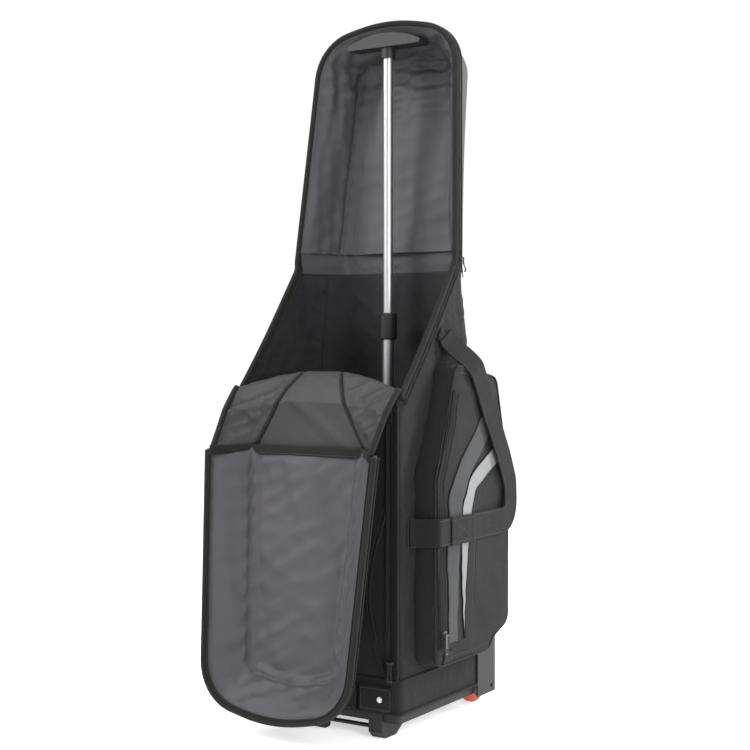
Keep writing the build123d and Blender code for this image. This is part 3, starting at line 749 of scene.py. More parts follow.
def makeSkirt():
    low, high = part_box("base_skirt")
    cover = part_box("wheel_housing_right")[0]

    def around(loop, z):
        keep = loop[~((loop[:, 0] > cover.x - 0.001) & (loop[:, 1] > cover.y - 0.001))]
        keep = keep[keep[:, 1] < cover.y]
        return np.vstack([mirror2(keep)[::-1][:-1], keep])

    grid = wallGrid(levelsFrom(low.z, high.z, 0.0042), around, 170)
    relief = clothRelief(grid, 0.0042, 0.0007, 0.0005, 61)
    obj = sheetFrom("skirtCloth", grid, body["wall"], "black", relax=-relief)
    settle(obj, "case", "black_fabric", "base_skirt")
    behind = wallGrid(levelsFrom(low.z, high.z, 0.0042), lambda loop, z: np.vstack([
        loop[(loop[:, 1] > cover.y) & (loop[:, 0] < cover.x)],
        mirror2(loop[(loop[:, 1] > cover.y) & (loop[:, 0] < cover.x)])[::-1][1:],
    ]), 44)
    relief = clothRelief(behind, 0.0042, 0.0005, 0.0004, 63)
    settle(sheetFrom("skirtBackCloth", behind, body["wall"], "black", relax=-relief), "case",
           "black_fabric")
    for name, z, size in (("skirtPipingTop", high.z, 0.0024), ("skirtPipingLow", low.z + 0.002, 0.0032)):
        loop = around(bodyLoop(z, -0.001, 900), z)
        line = np.column_stack([evenlyCount(loop, 190), np.full(190, z)])
        settle(sweep(name, line, circleSection(size, 8), (0, 0, 1), "binding"), "case", "webbing")


makeWalls()
makeNeck()
makeSkirt()
print("body walls ready")


# hood and lid

rim = {
    "lean": math.radians(6.1),
    "foot": (0.0, 0.0, 0.820),
    "corners": ((0.177, -0.09), (0.177, 0.010), (0.151, 0.440), (0, 0.472), (-0.151, 0.440),
                (-0.177, 0.010),
                (-0.177, -0.09)),
    "radii": (0, 0.25, 0.085, 0.30, 0.085, 0.25, 0),
    "hinge": (-0.135, 0.660),
    "hoodProfile": ((0.005, 0.0), (0.076, 0.027), (0.0964, 0.039), (0.110, 0.060)),
    "lidProfile": ((0.006, 0.0), (0.056, 0.049), (0.072, 0.072)),
    "hoodLow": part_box("hood_shell")[0].z,
    "lidTop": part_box("lid_shell")[1].z,
    "wall": 0.003,
    "swellTop": 0.40,
    "swell": (0.34, 0.06),
    "ribs": (7, 12, 17),
    "ribDepth": 0.0022,
}


def inRim(flat, depth):
    flat = np.asarray(flat, float)
    depth = np.broadcast_to(np.asarray(depth, float), flat.shape[:-1])
    s, c = math.sin(rim["lean"]), math.cos(rim["lean"])
    x0, y0, z0 = rim["foot"]
    return np.stack([flat[..., 0] + x0, flat[..., 1] * s + depth * c + y0,
                     flat[..., 1] * c - depth * s + z0], -1)


# half a turn about the hinge line: closed place to open place
def opened(points):
    points = np.array(points, float)
    points[..., 1] = 2 * rim["hinge"][0] - points[..., 1]
    points[..., 2] = 2 * rim["hinge"][1] - points[..., 2]
    return points


# smooth profile: list of (depth, inset) through the given stations
def profileLine(stations, count):
    return evenlyCount(smoothLine(np.array(stations, float), 3), count)


# dish as a grid: rows along the arch, columns down the wall and across the cap to the spine
def dishGrid(stations, shrink, toward, archCount=190, wallCount=26, capCount=16, crown=0.004, swell=(0, 0)):
    line = profileLine(stations, wallCount)
    cols = []
    for depth, inset in line:
        share = (depth - line[0][0]) / (line[-1][0] - line[0][0])
        full = roundedPath(rim["corners"], rim["radii"], inset + shrink, archCount)
        slim = roundedPath(rim["corners"], rim["radii"], inset * (1 - swell[0]) + shrink, archCount)
        rise = (np.clip(full[:, 1:2] / rim["swellTop"], 0, 1) ** 2)
        flat = full + (slim - full) * rise
        cols.append(inRim(flat, toward * (depth * (1 + swell[1] * rise[:, 0]) - shrink * share)))
    edge = flat
    high = edge[:, 1].max() - abs(edge[:, 0]).max() * 0.9
    spine = np.column_stack([np.zeros(archCount), np.minimum(edge[:, 1], high)])
    for k in range(1, capCount + 1):
        q = k / capCount
        bulge = crown * (1 - (1 - q) ** 2)
        deep = line[-1][0] * (1 + swell[1] * rise[:, 0] * (1 - q * 0.5))
        cols.append(inRim(edge + (spine - edge) * q, toward * (deep - shrink + bulge)))
    return np.stack(cols, 1)


# relief that rises toward the front, where the linings face, and hardly sinks into the shell
def facingFront(grid, relief, sink=0.0010):
    turned = normalsOf(grid.reshape(-1, 3), gridFaces(*grid.shape[:2]))[:, 1].mean()
    return np.maximum(relief, -sink) * (-1 if turned > 0 else 1)


def seamDip(count, at, width):
    t = np.arange(count)
    return np.exp(-((t - at) / width) ** 2)


def makeHood():
    low = [((0, 0, rim["hoodLow"]), (0, 0, -1))]
    grid = dishGrid(rim["hoodProfile"], 0.0, 1, wallCount=56, swell=rim["swell"])
    groove = np.zeros(grid.shape[:2])
    for at in rim["ribs"]:
        groove -= rim["ribDepth"] * seamDip(grid.shape[1], at, 1.0)[None, :]
    obj = sheetFrom("hoodShell", grid, rim["wall"], "shell", keepPart=low, relax=-groove)
    settle(obj, "case", "hard_shell", "hood_shell")
    grid = dishGrid(rim["hoodProfile"], rim["wall"] + edging["flushGap"], 1, crown=-0.002)
    flat = grid.reshape(-1, 3)
    cols = np.arange(grid.shape[1])
    pillow = np.zeros(grid.shape[:2])
    bend = 19
    wallPuff = np.sin(np.clip(cols / bend, 0, 1) * math.pi) * 0.0035
    capPuff = np.sin(np.clip((cols - bend) / (len(cols) - 1 - bend) * 0.5, 0, 0.5) * math.pi) * 0.005
    pillow += (np.where(cols < bend, wallPuff, capPuff))[None, :]
    pillow -= 0.0075 * seamDip(len(cols), bend, 0.8)[None, :]
    folds = ripple(flat, 0.075, 71, count=5, sharp=True).reshape(pillow.shape)
    soft = ripple(flat, 0.13, 73).reshape(pillow.shape)
    corner = np.exp(-(((flat[:, 2] - 1.20) / 0.07) ** 2)).reshape(pillow.shape)
    pucker = np.sin(np.arange(grid.shape[0]) * 1.15)[:, None] * seamDip(len(cols), bend, 3.2)[None, :]
    sag = np.sin(flat[:, 2] * 190 + flat[:, 0] * 9 + np.sin(flat[:, 0] * 30) * 1.3).reshape(pillow.shape)
    pillow += soft * 0.0026 + folds * (0.0012 + 0.0030 * corner) + pucker * 0.0018 + sag * corner * 0.0032
    fade = np.clip(cols / 3, 0, 1)[None, :]
    obj = sheetFrom("hoodLiningPad", grid, edging["lining"], "satin", keepPart=low,
                    relax=facingFront(grid, (pillow + 0.0050) * fade))
    settle(obj, "case", "satin_lining", "hood_lining")
    return obj


def makeLid():
    top = [((0, 0, rim["lidTop"]), (0, 0, 1))]
    grid = dishGrid(rim["lidProfile"], 0.0, -1)
    obj = sheetFrom("lidShell", opened(grid), rim["wall"], "shell", keepPart=top)
    settle(obj, "lid", "hard_shell", "lid_shell")
    grid = dishGrid(rim["lidProfile"], rim["wall"] + edging["flushGap"], -1, crown=-0.001)
    flat = grid.reshape(-1, 3)
    cols = np.arange(grid.shape[1])
    bend = 20
    wallPuff = np.sin(np.clip(cols / bend, 0, 1) * math.pi) * 0.003
    capPuff = np.sin(np.clip((cols - bend) / (len(cols) - 1 - bend) * 0.5, 0, 0.5) * math.pi) * 0.003
    pillow = np.where(cols < bend, wallPuff, capPuff)[None, :] - 0.0080 * seamDip(len(cols), bend,
                                                                                  0.7)[None, :]
    folds = ripple(flat, 0.06, 81, sharp=True).reshape(grid.shape[:2])
    soft = ripple(flat, 0.14, 83).reshape(grid.shape[:2])
    pucker = np.sin(np.arange(grid.shape[0]) * 1.05)[:, None] * seamDip(len(cols), bend, 3.0)[None, :]
    pillow = pillow + soft * 0.0022 + folds * 0.0013 + pucker * 0.0018
    belowCut = np.clip((opened(grid)[:, :, 2] * -1 + rim["lidTop"]) / 0.02, 0, 1)
    fade = np.clip(cols / 3, 0, 1)[None, :] * belowCut
    obj = sheetFrom("lidLiningPad", opened(grid), edging["lining"], "satin", keepPart=top,
                    relax=facingFront(opened(grid), (pillow + 0.0050) * fade))
    settle(obj, "lid", "satin_lining", "lid_lining")


def archLine(grow, depth, toward, count=420, low=None):
    flat = roundedPath(rim["corners"], rim["radii"], -grow, count)
    line = inRim(flat, toward * depth)
    if low is not None:
        line = line[line[:, 2] >= low]
    return line


def makeRims():
    mouth = np.array(body["mouth"][:3])
    diagonal = smoothLine(np.column_stack([np.full(3, body["half"] + 0.0005), mouth]), 3)
    arch = archLine(0.0005, 0.0, 1, low=0.824)
    line = np.vstack([diagonal, arch, mirroredX(diagonal)[::-1]])
    line = evenly(smoothLine(evenly(line, 0.012), 2), 0.005)
    outward = line - np.column_stack([np.zeros(len(line)), line[:, 1], np.clip(line[:, 2], 0.5, 1.13)])
    outward[:, 1] = 0
    outward /= np.maximum(np.linalg.norm(outward, axis=1, keepdims=True), 1e-6)
    back = np.gradient(line, axis=0)
    back /= np.linalg.norm(back, axis=1, keepdims=True)
    behind = np.cross(outward, back)
    behind *= np.sign(behind[:, 1:2])
    main = line + behind * 0.0035 - outward * 0.0020
    obj = sweep("mouthBindingTape", main, circleSection(0.0052, 12, 0.95), behind, "binding")
    settle(obj, "case", "webbing", "rim_binding")
    coilLine = line + behind * 0.0075 + outward * 0.0020
    zipRow("mouthZipTeeth", coilLine, outward, "case", width=0.0046)
    piping = line + behind * 0.0125 + outward * 0.0004
    settle(sweep("mouthPiping", piping, circleSection(edging["piping"], 8), behind, "binding"), "case",
           "webbing")
    stitchRow("mouthStitches", line + behind * 0.0165 + outward * 0.0018, outward, "case")
    facing = sweep("mouthFacing", line + behind * 0.0085 - outward * 0.0062,
                   tapeSection(0.017, edging["facing"], -edging["facing"] / 2), -outward,
                   "binding")
    settle(facing, "case", "webbing")
    stitchRow("mouthFacingStitches", line + behind * 0.0145 - outward * 0.0072, -outward, "case")
    ledge = line + behind * 0.0205 + outward * 0.0008
    settle(sweep("mouthPipingBack", ledge, circleSection(edging["thinPiping"], 8), behind, "binding"),
           "case", "webbing")
    flat = archLine(0.0005, 0.001, -1)
    lidLine = opened(flat)
    lidLine = evenly(lidLine[lidLine[:, 2] <= rim["lidTop"] + 0.0005], 0.005)
    out = lidLine - np.column_stack([np.zeros(len(lidLine)), lidLine[:, 1],
                                     np.clip(lidLine[:, 2], 0.19, 2)])
    out[:, 1] = 0
    out /= np.maximum(np.linalg.norm(out, axis=1, keepdims=True), 1e-6)
    way = np.gradient(lidLine, axis=0)
    way /= np.linalg.norm(way, axis=1, keepdims=True)
    inn = np.cross(out, way)
    inn *= np.sign(inn[:, 1:2])
    obj = sweep("lidBindingTape", lidLine + inn * 0.004 - out * 0.0025, circleSection(0.0056, 12, 0.95),
                inn, "binding")
    settle(obj, "lid", "webbing", "lid_binding")
    zipRow("lidZipTeeth", lidLine + inn * 0.0022 - out * 0.0085, -inn, "lid", width=0.0046)
    obj = sweep("lidPiping", lidLine + inn * 0.0125 + out * 0.0004, circleSection(edging["piping"], 8), inn,
                "binding")
    settle(obj, "lid", "webbing")
    stitchRow("lidStitches", lidLine + inn * 0.001 - out * 0.0125, -inn, "lid")
    facing = sweep("lidFacing", lidLine + inn * 0.0075 - out * 0.0085,
                   tapeSection(0.016, edging["facing"], -edging["facing"] / 2), -out, "binding")
    settle(facing, "lid", "webbing")


makeHood()
makeLid()
makeRims()
print("hood and lid ready")


# cloth fold between body and lid

fold = {
    "topMiddle": 0.626,
    "topSide": 0.597,
    "topBack": -0.158,
    "topSideBack": -0.1865,
    "edge": rim["lidTop"],
    "halfTop": 0.1725,
    "halfEdge": 0.1660,
    "panelTop": 0.040,
    "panelEdge": 0.118,
    "panelBack": -0.2030,
    "rimBack": -0.2650,
    "wall": 0.0012,
    "turn": ((0, -0.16, 0.640), (0, -0.16, 0.570)),
}


def bendCloth(obj):
    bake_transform(obj)
    return obj


def gridArea(grid):
    a = np.cross(grid[1:, 1:] - grid[:-1, :-1], grid[1:, :-1] - grid[:-1, 1:])
    return float(np.linalg.norm(a, axis=-1).sum() / 2)


def makeFold():
    rows, cols = 64, 150
    v = np.linspace(0, 1, rows)[:, None]
    u = np.linspace(-1, 1, cols)[None, :]
    half = fold["halfTop"] + (fold["halfEdge"] - fold["halfTop"]) * v
    panelHalf = fold["panelTop"] + (fold["panelEdge"] - fold["panelTop"]) * v
    x = u * half
    outer = np.clip((np.abs(u) - 0.24) / 0.76, 0, 1)
    topZ = fold["topMiddle"] + (fold["topSide"] - fold["topMiddle"]) * outer ** 1.4
    topY = fold["topBack"] + (fold["topSideBack"] - fold["topBack"]) * outer ** 1.6
    z = topZ + (fold["edge"] - topZ) * v
    y = topY + (fold["panelBack"] - topY) * np.clip(v * 2.6, 0, 1) ** 0.7
    beyond = np.clip((np.abs(x) - panelHalf) / (half - panelHalf), 0, 1)
    flare = (fold["rimBack"] - fold["panelBack"]) * beyond * v ** 1.1
    y = y + flare
    hold = np.clip((1 - np.abs(u)) / 0.06, 0, 1) * np.sin(np.pi * np.clip(v * 0.96 + 0.02, 0, 1)) ** 0.6
    valley = 0.006 * np.sin(np.pi * beyond) ** 1.5 * hold
    y = y + valley
    grid = np.stack([x + 0 * v, y + 0 * u, z + 0 * u], -1)
    flat = grid.reshape(-1, 3)
    gusset = np.clip(beyond * 4, 0, 1) * hold
    folds = ripple(flat, 0.085, 91, count=4, sharp=True).reshape(rows, cols) * 0.0040
    small = ripple(flat, 0.030, 93, count=6, sharp=True).reshape(rows, cols) * 0.0009
    soft = ripple(flat, 0.15, 95, count=4).reshape(rows, cols) * 0.0022 * hold
    drape = 0.0030 * np.exp(-((x * 0.75 + z - 0.552) / 0.014) ** 2) * hold
    seam = 0.0016 * np.exp(-((np.abs(x) - panelHalf) / 0.0035) ** 2)
    relief = folds * gusset + small * hold * (0.25 + 0.75 * gusset) + soft + drape - seam
    # columns run left to right and rows downward, so the cloth's outer side is the front
    normals = normalsOf(flat, gridFaces(rows, cols))
    facing = np.sign(normals[:, 1].mean()) * -1
    grid = (flat + normals * facing * relief.reshape(-1, 1)).reshape(rows, cols, 3)
    shown = grid if facing > 0 else grid[:, ::-1]
    cloth = sheetFrom("foldCloth", shown, fold["wall"], "coated")
    surface = BVHTree.FromPolygons([tuple(p) for p in grid.reshape(-1, 3)],
                                   [list(map(int, f)) for f in gridFaces(rows, cols)])
    for label, sign in sides:
        line = np.column_stack([sign * panelHalf[:, 0], np.full(rows, -0.4), grid[:, cols // 2, 2]])
        placed = []
        for p in evenly(line, 0.004):
            hit = surface.ray_cast(Vector(p), Vector((0, 1, 0)))[0]
            if hit is not None:
                placed.append((hit.x, hit.y - 0.0014, hit.z))
        placed = np.array(placed)
        piping = sweep("foldPiping_" + label, placed, tapeSection(0.0062, 0.0016), (0, -1, 0), "binding")
        bendCloth(piping)
        edge = evenly(grid[:, -1 if sign > 0 else 0], 0.004)
        border = sweep("foldBinding_" + label, edge, circleSection(0.0056, 10, 0.8), (0, -1, 0), "binding")
        bendCloth(border)
    bendCloth(cloth)
    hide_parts("lid_fold")
    area = gridArea(grid)
    edgeLine = evenly(grid[-2], 0.006)
    edgeLine = edgeLine + np.array((0, -0.0075, -0.004))
    strap = sweep("lidEdgeStrip", edgeLine, tapeSection(0.017, 0.0060, -0.0038), (0, -1, 0), "binding")
    settle(strap, "lid", "webbing")
    stitchRow("lidEdgeStitches", edgeLine + np.array((0, -0.0023, -0.0058)), (0, -1, 0), "lid")
    rise = []
    for k in range(14):
        q = k / 13
        xs = np.linspace(-1, 1, 60)
        halfNow = panel["zipX"] - 0.001 + 0.006 * q
        outerNow = np.clip((np.abs(xs) - 0.24) / 0.76, 0, 1)
        topNow = fold["topMiddle"] - 0.003 + (fold["topSide"] - fold["topMiddle"]) * outerNow ** 1.4
        backNow = fold["topBack"] + 0.012 + (fold["topSideBack"] - fold["topBack"]) * outerNow ** 1.6
        zs = panel["frontTop"] - 0.001 + (topNow - panel["frontTop"]) * q
        ys = body["front"] + 0.004 + (backNow - body["front"]) * np.sin(q * math.pi / 2)
        rise.append(np.column_stack([xs * halfNow, ys, zs]))
    rise = np.array(rise)
    obj = sheetFrom("riseCloth", rise, 0.002, "coated")
    settle(obj, "case", "coated_fabric", "body_fold")


makeFold()
print("cloth fold ready")


# side pockets

pocket = {
    "outline": ((-0.136, 0.118), (-0.136, 0.440), (-0.062, 0.642), (0.092, 0.616), (0.138, 0.440),
                (0.138, 0.160), (0.078, 0.138), (0.060, 0.118)),
    "corner": 0.026,
    "root": 0.1715,
    "face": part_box("pocket_panel_right")[0].x - 0.0009,
    "edge": 0.010,
    "puff": 0.0035,
    "zip": ((-0.117, 0.152), (-0.117, 0.436), (-0.066, 0.592)),
    "stripe": ((-0.054, 0.158), (-0.045, 0.385), (-0.014, 0.432), (0.106, 0.492)),
    "grey": ((-0.082, 0.158), (-0.074, 0.405), (-0.034, 0.462), (0.062, 0.545)),
    "stripeWidth": 0.033,
    "greyWidth": 0.040,
    "count": 230,
}


# closed outline drawn inwards; side sign picks the inner side of the given corner order
def pocketRing(inset, count):
    return roundedPath(pocket["outline"][::-1], [pocket["corner"]] * 8, inset, count, closed=True)


def pocketGrid():
    count = pocket["count"]
    rows = []
    wallSteps = 9
    for k in range(wallSteps):
        q = k / (wallSteps - 1)
        x = pocket["root"] + (pocket["face"] - pocket["edge"] - pocket["root"]) * q
        rows.append((0.0006 - 0.0018 * math.sin(math.pi * q), x))
    for k in range(1, 8):
        turn = k / 7 * math.pi / 2
        rows.append((pocket["edge"] * (1 - math.cos(turn)),
                     pocket["face"] - pocket["edge"] * (1 - math.sin(turn))))
    for k in range(1, 12):
        inset = pocket["edge"] + 0.026 * k / 11
        rows.append((inset, pocket["face"] + pocket["puff"] * (1 - (1 - k / 34) ** 2)))
    grid = []
    for inset, x in rows:
        ring = pocketRing(inset, count)
        grid.append(np.column_stack([np.full(count, x), ring]))
    last = grid[-1]
    low, high = last[:, 2].min() + 0.06, last[:, 2].max() - 0.075
    spine = np.column_stack([last[:, 0], np.interp(last[:, 2], [low, high], [-0.004, 0.010]),
                             np.clip(last[:, 2], low, high)])
    for k in range(1, 24):
        q = k / 23
        ring = last + (spine - last) * q
        ring[:, 0] = pocket["face"] + pocket["puff"] * (1 - (1 - (11 + 23 * q) / 34) ** 2)
        grid.append(ring)
    return np.array(grid)


def dropOn(tree, points, sign, lift):
    out = []
    for _, y, z in points:
        hit = tree.ray_cast(Vector((sign * 0.4, y, z)), Vector((-sign, 0, 0)))[0]
        out.append((hit.x + sign * lift, y, z) if hit is not None
                   else (sign * (pocket["face"] + lift), y, z))
    return np.array(out)


def bandGrid(tree, path, width, taper, sign, lift, cols=9, rows=110, shiftFrom=0.0, shift=0.0):
    line = roundedPath(path, [0, 0.05, 0.05, 0][:len(path)], 0, rows)
    way = np.gradient(line, axis=0)
    way /= np.linalg.norm(way, axis=1, keepdims=True)
    side = np.column_stack([-way[:, 1], way[:, 0]])
    grid = []
    for k in range(rows):
        half = width / 2 * taper(k / (rows - 1))
        moved = shift + shiftFrom * (1 - taper(k / (rows - 1)))
        across = np.linspace(-half, half, cols)[:, None] + moved
        flat = line[k] + side[k] * across
        grid.append(dropOn(tree, np.column_stack([np.zeros(cols), flat]), sign, lift))
    return np.array(grid)


def makePocket(label, sign):
    grid = pocketGrid()
    flat = grid.reshape(-1, 3)
    rows = grid.shape[0]
    faceShare = np.clip((np.arange(rows) - 9) / 10, 0, 1)[:, None]
    rootFade = np.clip(np.arange(rows) / 4, 0, 1)[:, None]
    soft = ripple(flat, 0.16, 101).reshape(grid.shape[:2]) * (0.0006 + 0.0014 * faceShare)
    folds = ripple(flat, 0.11, 103, count=5,
                   sharp=True).reshape(grid.shape[:2]) * (0.0010 - 0.0003 * faceShare)
    grid[:, :, 0] *= sign
    relief = (soft + folds) * rootFade
    obj = sheetFrom("pocketCloth_" + label, grid, 0.0022, "black", closed=True, relax=relief * sign)
    settle(obj, "case", "black_fabric", "pocket_" + label)
    tree = BVHTree.FromObject(obj, bpy.context.evaluated_depsgraph_get())
    line = roundedPath(pocket["zip"], [0, 0.05, 0], 0, 150)
    out = (sign, 0, 0)
    along = dropOn(tree, np.column_stack([np.zeros(150), line]), sign, 0.0008)
    tape = sweep("pocketZipTape_" + label, along, tapeSection(0.017, 0.0011), out, "zipTape")
    settle(tape, "case", "zip_black", *(["pocket_zips"] if sign > 0 else []))
    zipRow("pocketZipTeeth_" + label, along + np.array((sign * 0.0011, 0, 0)), out, "case", width=0.0052)
    way = np.gradient(line, axis=0)
    way /= np.linalg.norm(way, axis=1, keepdims=True)
    side = np.column_stack([-way[:, 1], way[:, 0]])
    for name, gap in (("Fore", 0.0098), ("Aft", -0.0098)):
        edge = dropOn(tree, np.column_stack([np.zeros(150), line + side * gap]), sign, 0.0009)
        piping = sweep("pocketZipPiping%s_%s" % (name, label), edge,
                       circleSection(edging["thinPiping"], 8), out,
                       "binding")
        settle(piping, "case", "webbing")
    for name, gap in (("Fore", 0.0064), ("Aft", -0.0064)):
        edge = dropOn(tree, np.column_stack([np.zeros(150), line + side * gap]), sign, 0.0020)
        stitchRow("pocketZipStitches%s_%s" % (name, label), edge, out, "case")
    stripe = bandGrid(tree, pocket["stripe"], pocket["stripeWidth"], lambda q: min(1.0, 0.05 + q * 1.9),
                      sign, 0.0016,
                      shiftFrom=-0.010, shift=-0.005)
    obj = sheetFrom("pocketStripeTape_" + label, stripe if sign > 0 else stripe[:, ::-1], 0.0012, "tape")
    settle(obj, "case", "reflective_tape", "pocket_stripe_" + label)
    grey = bandGrid(tree, pocket["grey"], pocket["greyWidth"], lambda q: 0.85 + 0.35 * q, sign, 0.0011)
    obj = sheetFrom("pocketGreyPanel_" + label, grey if sign > 0 else grey[:, ::-1], 0.0009, "grey")
    settle(obj, "case", "grey_fabric", "pocket_panel_" + label)
    for name, band, col in (("Fore", stripe, -1), ("Aft", stripe, 0), ("Grey", grey, -1)):
        edge = evenly(band[:, col], 0.004)
        settle(sweep("pocketBandPiping%s_%s" % (name, label), edge, circleSection(0.0012, 8), out,
                     "binding"),
               "case", "webbing")
    rim = pocketRing(pocket["edge"] * 0.3, pocket["count"])
    x = pocket["face"] - pocket["edge"] * 0.28
    ring = np.column_stack([np.full(len(rim), sign * x), rim])
    piping = sweep("pocketEdgePiping_" + label, ring, circleSection(edging["piping"], 8), out, "binding",
                   closedLine=True)
    settle(piping, "case", "webbing")
    rim = pocketRing(pocket["edge"] + 0.004, pocket["count"])
    seam = dropOn(tree, np.column_stack([np.zeros(len(rim)), rim]), sign, 0.0003)
    keep = seam[(seam[:, 1] > -0.118) | (seam[:, 2] > 0.60)]
    for k, run in enumerate(splitRuns(keep, 0.02)):
        stitchRow("pocketStitches%d_%s" % (k, label), run, out, "case")
    tab = bandGrid(tree, ((-0.108, 0.134), (-0.080, 0.134)), 0.022, lambda q: 1.0, sign, 0.0026, cols=7,
                   rows=12)
    settle(sheetFrom("pocketTab_" + label, tab if sign > 0 else tab[:, ::-1], 0.0018, "webbing"),
           "case", "webbing")


def splitRuns(line, gap):
    cuts = np.where(np.linalg.norm(np.diff(line, axis=0), axis=1) > gap)[0] + 1
    return [run for run in np.split(line, cuts) if len(run) > 6]


for label, sign in sides:
    makePocket(label, sign)
print("pockets ready")


# zips on the front corners

def makeFrontZips():
    low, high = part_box("main_zips")[0].z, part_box("main_zips")[1].z
    front = body["front"]
    for label, sign in sides:
        x = sign * panel["zipX"]
        count = 90
        z = np.linspace(low, high, count)
        line = np.column_stack([np.full(count, x), np.full(count, front - 0.0004), z])
        tape = sweep("frontZipTape_" + label, line, tapeSection(0.019, 0.0013), (0, -1, 0), "zipTape")
        settle(tape, "case", "zip_black", *(["main_zips"] if sign > 0 else []))
        zipRow("frontZipTeeth_" + label, line + np.array((0, -0.0013, 0)), (0, -1, 0), "case", width=0.0056)
        for name, gap in (("In", -0.0105), ("Out", 0.0105)):
            place = line + np.array((sign * gap, -0.0012, 0))
            if name == "Out":
                place = line + np.array((sign * 0.0098, -0.0010, 0))
            piping = sweep("frontZipPiping%s_%s" % (name, label), place, circleSection(0.0023, 8),
                           (0, -1, 0), "binding")
            settle(piping, "case", "webbing")
        for name, gap in (("In", -0.0062), ("Out", 0.0062)):
            stitchRow("frontZipStitches%s_%s" % (name, label), line + np.array((sign * gap, -0.0013, 0)),
                      (0, -1, 0), "case")


# seams that cross the lower front panel, from the zips down to the middle
frontSeam = {
    "upper": ((0.150, 0.395), (0.118, 0.300), (0.112, 0.215), (0.146, 0.112)),
    "lift": 0.0016,
}


def makeFrontSeams():
    for label, sign in sides:
        line = smoothLine(np.array([(sign * x, z) for x, z in frontSeam["upper"]]), 3)
        line = np.column_stack([line[:, 0], np.full(len(line), body["front"] - frontSeam["lift"]),
                                line[:, 1]])
        line = evenly(line, 0.005)
        piping = sweep("frontSeamPiping_" + label, line, circleSection(0.0024, 8), (0, -1, 0), "binding")
        settle(piping, "case", "webbing")
        stitchRow("frontSeamStitches_" + label, line + np.array((-sign * 0.0055, -0.0004, 0)),
                  (0, -1, 0), "case")


makeFrontZips()
makeFrontSeams()


# webbing loops at the sides

loop = {
    "path": ((-0.040, 0.690), (0.083, 0.488), (0.125, 0.420), (0.125, 0.352), (-0.164, 0.352)),
    "radii": (0, 0.05, 0.034, 0.034, 0),
    "foot": (-0.164, 0.352),
    "away": (0.9388, -0.3444),
    "axis": 0.1806,
    "face": 0.2242,
    "reach": 0.030,
    "ease": 0.075,
    "width": 0.048,
    "wall": 0.0032,
}


def makeLoops():
    flat = roundedPath(loop["path"], loop["radii"], 0, 190)
    gone = np.concatenate([[0], np.cumsum(np.linalg.norm(np.diff(flat, axis=0), axis=1))])
    p = (flat - np.array(loop["foot"])) @ np.array(loop["away"])
    rise = np.clip(np.minimum(gone / loop["ease"], (gone[-1] - gone) / loop["reach"]), 0, 1)
    rise = rise * rise * (3 - 2 * rise)
    x = loop["axis"] + (loop["face"] - loop["axis"]) * rise
    slack = ripple(np.column_stack([x, flat]), 0.10, 111) * 0.0011 * np.clip(p / 0.05, 0, 1)
    for label, sign in sides:
        line = np.column_stack([sign * (x + slack), flat])
        up = np.array((sign, 0, 0))
        half, wall = loop["width"] / 2, loop["wall"]
        section = [(-half, 0.0), (-half + 0.0006, wall * 0.5), (-half + 0.002, wall * 0.62),
                   (-half + 0.004, wall * 0.42)]
        for k in range(7):
            at = -half + 0.008 + (loop["width"] - 0.016) * k / 6
            section += [(at, wall * (0.5 + 0.12 * (k % 2)))]
        section += [(half - 0.004, wall * 0.42), (half - 0.002, wall * 0.62),
                    (half - 0.0006, wall * 0.5), (half, 0.0)]
        section += [(a, -b) for a, b in section[-2:0:-1]]
        band = sweep("sideWebbing_" + label, evenly(line, 0.0045), section, up, "webbing")
        settle(band, "loop_" + label, "webbing", "side_strap_" + label)
        way = np.gradient(line, axis=0)
        way /= np.linalg.norm(way, axis=1, keepdims=True)
        across = np.cross(way, up)
        across /= np.linalg.norm(across, axis=1, keepdims=True)
        for name, gap in (("A", half - 0.0035), ("B", -half + 0.0035)):
            stitchRow("sideWebbingStitches%s_%s" % (name, label),
                      (line + across * gap + up * wall * 0.5)[8:-8], up,
                      "loop_" + label)
        # folded stitched end where the loop crosses the front of the pocket
        start, stop = 148, 172
        lap = sweep("sideWebbingLap_" + label, evenly(line[start:stop] + up * 0.0030, 0.0035),
                    tapeSection(loop["width"] + 0.001, 0.0026, -0.0008), up, "webbing")
        settle(lap, "loop_" + label, "webbing")
        box = [(start + 2, -1), (start + 2, 1), (stop - 3, 1), (stop - 3, -1), (start + 2, -1)]
        corner = [line[i] + across[i] * s * (half - 0.005) + up * 0.0050 for i, s in box]
        cross = corner + [corner[2]]
        stitchRow("sideWebbingBox_" + label, evenRing(cross), up, "loop_" + label)
        other = [corner[1], corner[3]]
        stitchRow("sideWebbingCross_" + label, evenRing(other), up, "loop_" + label)


def evenRing(points):
    return evenly(np.array(points), 0.0048)


